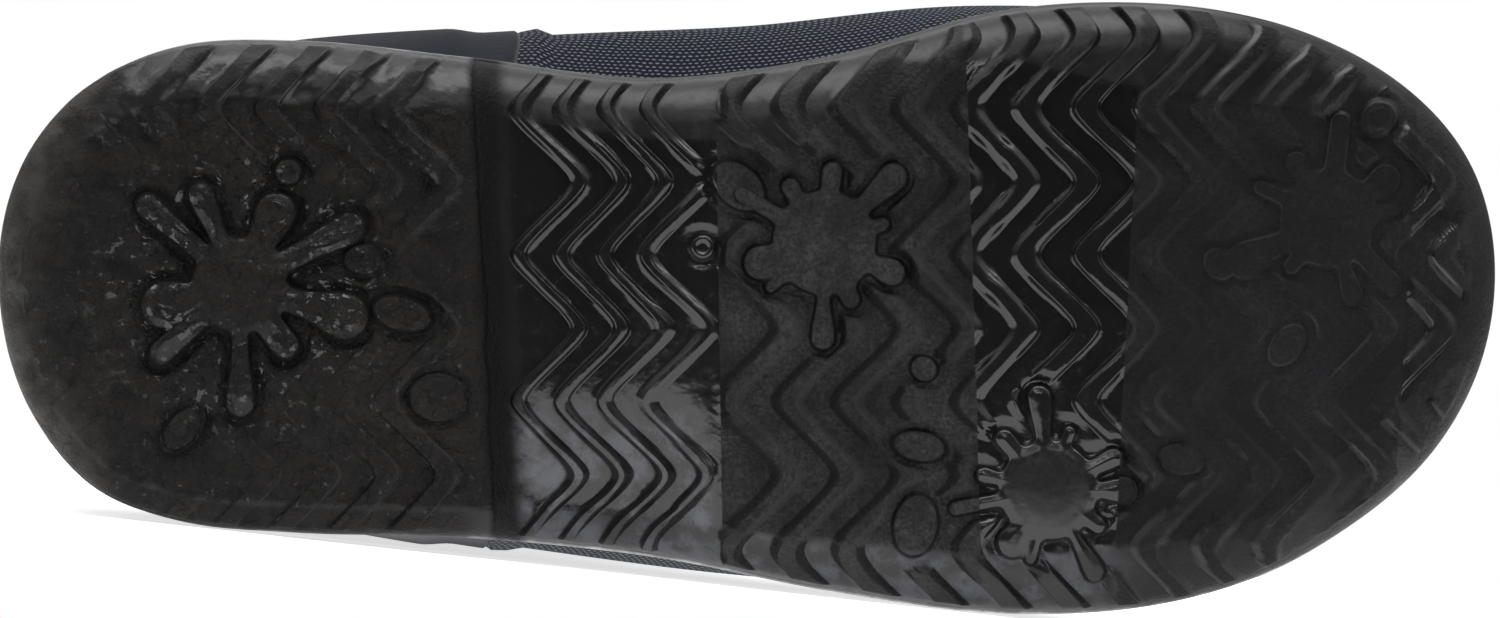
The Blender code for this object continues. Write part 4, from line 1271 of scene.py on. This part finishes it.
def counter_finish():
    """Smooth satin overlay, nearly black navy."""
    made, tools, feed = new_finish("smooth_navy_overlay", Specular_IOR_Level=0.06)
    blotch = noise(tools, 120.0, 4.0)
    grain = noise(tools, 1800.0, 2.0)
    tint = blotch.rise(0.35, 0.7).between(colour(0.002, 0.003, 0.007), colour(0.006, 0.007, 0.014))
    tint = stored(tools, "margin").between(tint, colour(0.008, 0.009, 0.016))
    # Painted light low on the outer side, next to the table.
    tint = stored(tools, "low_outside_painted_light").between(tint, colour(0.16, 0.16, 0.165))
    # Painted highlight along the counter's front edges.
    tint = (stored(tools, "front_edge_highlight") * 0.5).between(tint, colour(0.20, 0.20, 0.21))
    feed(
        Base_Color=tint,
        Roughness=0.48 + (blotch - 0.5) * 0.25,
        Normal=bump(tools, grain, OVERLAY_DEPTH, 0.4),
    )
    return made


PATCH_SIZE = 14


def felt_finish(name, dark, light, scale):
    """Napped cloth for the lining and the insole."""
    made, tools, feed = new_finish(name, Specular_IOR_Level=0.25, Sheen_Weight=0.2, Sheen_Roughness=0.5)
    fibre = noise(tools, scale, 6.0, 0.7)
    patch = noise(tools, scale / PATCH_SIZE, 3.0)
    feed(
        Base_Color=(fibre.rise(0.35, 0.7) * (0.6 + patch * 0.6)).between(colour(*dark), colour(*light)),
        Roughness=0.86 + (fibre - 0.5) * 0.2,
        Normal=bump(tools, fibre, NAP_DEPTH, 0.7),
    )
    return made


# Floor, light and camera

VIEW_DISTANCE, FAR_CLIP = 1.10, 20.0
PHOTO_WIDTH_PX, PX_PER_MM = 1500, 7.5
VIEW_CENTRE = (99.73, 4.75, 16.0)
SENSOR_MM = 36.0
# Edges of the table in metres: left, right, near, far.
TABLE_EDGES = (-0.34, 0.34, -0.24, 0.60)
# Brightness of the studio from the floor up, and how much of it is lost towards the viewer.
SKY_LOW, SKY_MORE, NEAR_LOSS = 0.12, 1.25, 0.92


def make_floor():
    """White table top, lit a little from within."""
    mesh = bpy.data.meshes.new("table_top")
    left, right, near, far = TABLE_EDGES
    mesh.from_pydata([(left, near, 0), (right, near, 0), (right, far, 0), (left, far, 0)], [], [(0, 1, 2, 3)])
    made, tools, feed = new_finish(
        "white_table", Roughness=0.9, Specular_IOR_Level=0.1,
        Emission_Color=colour(1, 1, 1), Emission_Strength=0.68,
    )
    feed(Base_Color=noise(tools, 3.0).between(colour(0.90, 0.90, 0.90), colour(0.93, 0.93, 0.93)))
    mesh.materials.append(made)
    table = place_object("table_top", mesh)


def softbox(name, at, aim, size, watts):
    lamp = bpy.data.lights.new(name, "AREA")
    lamp.shape = "RECTANGLE"
    lamp.size, lamp.size_y = size
    lamp.energy = watts
    holder = place_object(name, lamp)
    holder.location = at
    holder.rotation_euler = (Vector(aim) - Vector(at)).to_track_quat("-Z", "Y").to_euler()


def make_light():
    softbox("overhead_softbox", at=(0.0, -0.40, 1.3), aim=(0.0, -0.10, 0.0), size=(1.8, 1.0), watts=18.0)
    softbox("front_strip", at=(-0.1, -1.25, 0.62), aim=(0.0, -0.10, 0.05), size=(1.0, 0.035), watts=1.5)
    world = bpy.data.worlds.new("white_studio")
    bpy.context.scene.world = world
    world.use_nodes = True
    tree = world.node_tree
    tools = Wire(tree, None)
    _, away, up = parts_of(tools, tools.node("ShaderNodeTexCoord", outlet="Generated"))
    dim = 1 - (away * -1.0).rise(0.2, 0.9) * NEAR_LOSS
    brightness = (SKY_LOW + up.rise(0.0, 0.8) * SKY_MORE) * dim
    around = brightness.between(colour(0, 0, 0), colour(1, 1, 1))
    seen = tools.node("ShaderNodeLightPath", outlet="Is Camera Ray")
    tree.links.new(seen.between(around, colour(1, 1, 1)).socket, tree.nodes["Background"].inputs["Color"])


def make_camera():
    """Camera square to the sole, rolled with the boot so that the sole lies along the picture."""
    lens = bpy.data.cameras.new("photo_camera")
    lens.sensor_width = SENSOR_MM
    lens.lens = SENSOR_MM * VIEW_DISTANCE / (PHOTO_WIDTH_PX / PX_PER_MM * MM)
    lens.clip_end = FAR_CLIP
    camera = place_object("photo_camera", lens)
    stand = Vector(VIEW_CENTRE) * MM - Vector((0, 0, VIEW_DISTANCE))
    facing_sole = Matrix(((1, 0, 0), (0, -1, 0), (0, 0, -1))).to_4x4()
    camera.matrix_world = BOOT_PLACE @ Matrix.Translation(stand) @ facing_sole
    bpy.context.scene.camera = camera


# Putting it together

bpy.context.scene.view_settings.view_transform = "Standard"

rubber = rubber_finish()
lining = felt_finish("lining", dark=(0.02, 0.02, 0.024), light=(0.07, 0.07, 0.08), scale=900.0)
felt = felt_finish("insole_felt", dark=(0.02, 0.02, 0.022), light=(0.075, 0.075, 0.08), scale=1100.0)
for piece, node, slot in (
    (make_outsole(rubber), "outsole", "outsole_rubber"),
    (make_figures(rubber), "outsole", "outsole_rubber"),
    (make_upper(knit_finish(), lining), "upper", "upper_knit"),
    (make_counter(counter_finish()), "heel_counter", "counter_rubber"),
    (make_insole(felt), "insole", "insole_foam"),
):
    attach(piece, "root")
    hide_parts(node)

make_floor()
make_light()
make_camera()
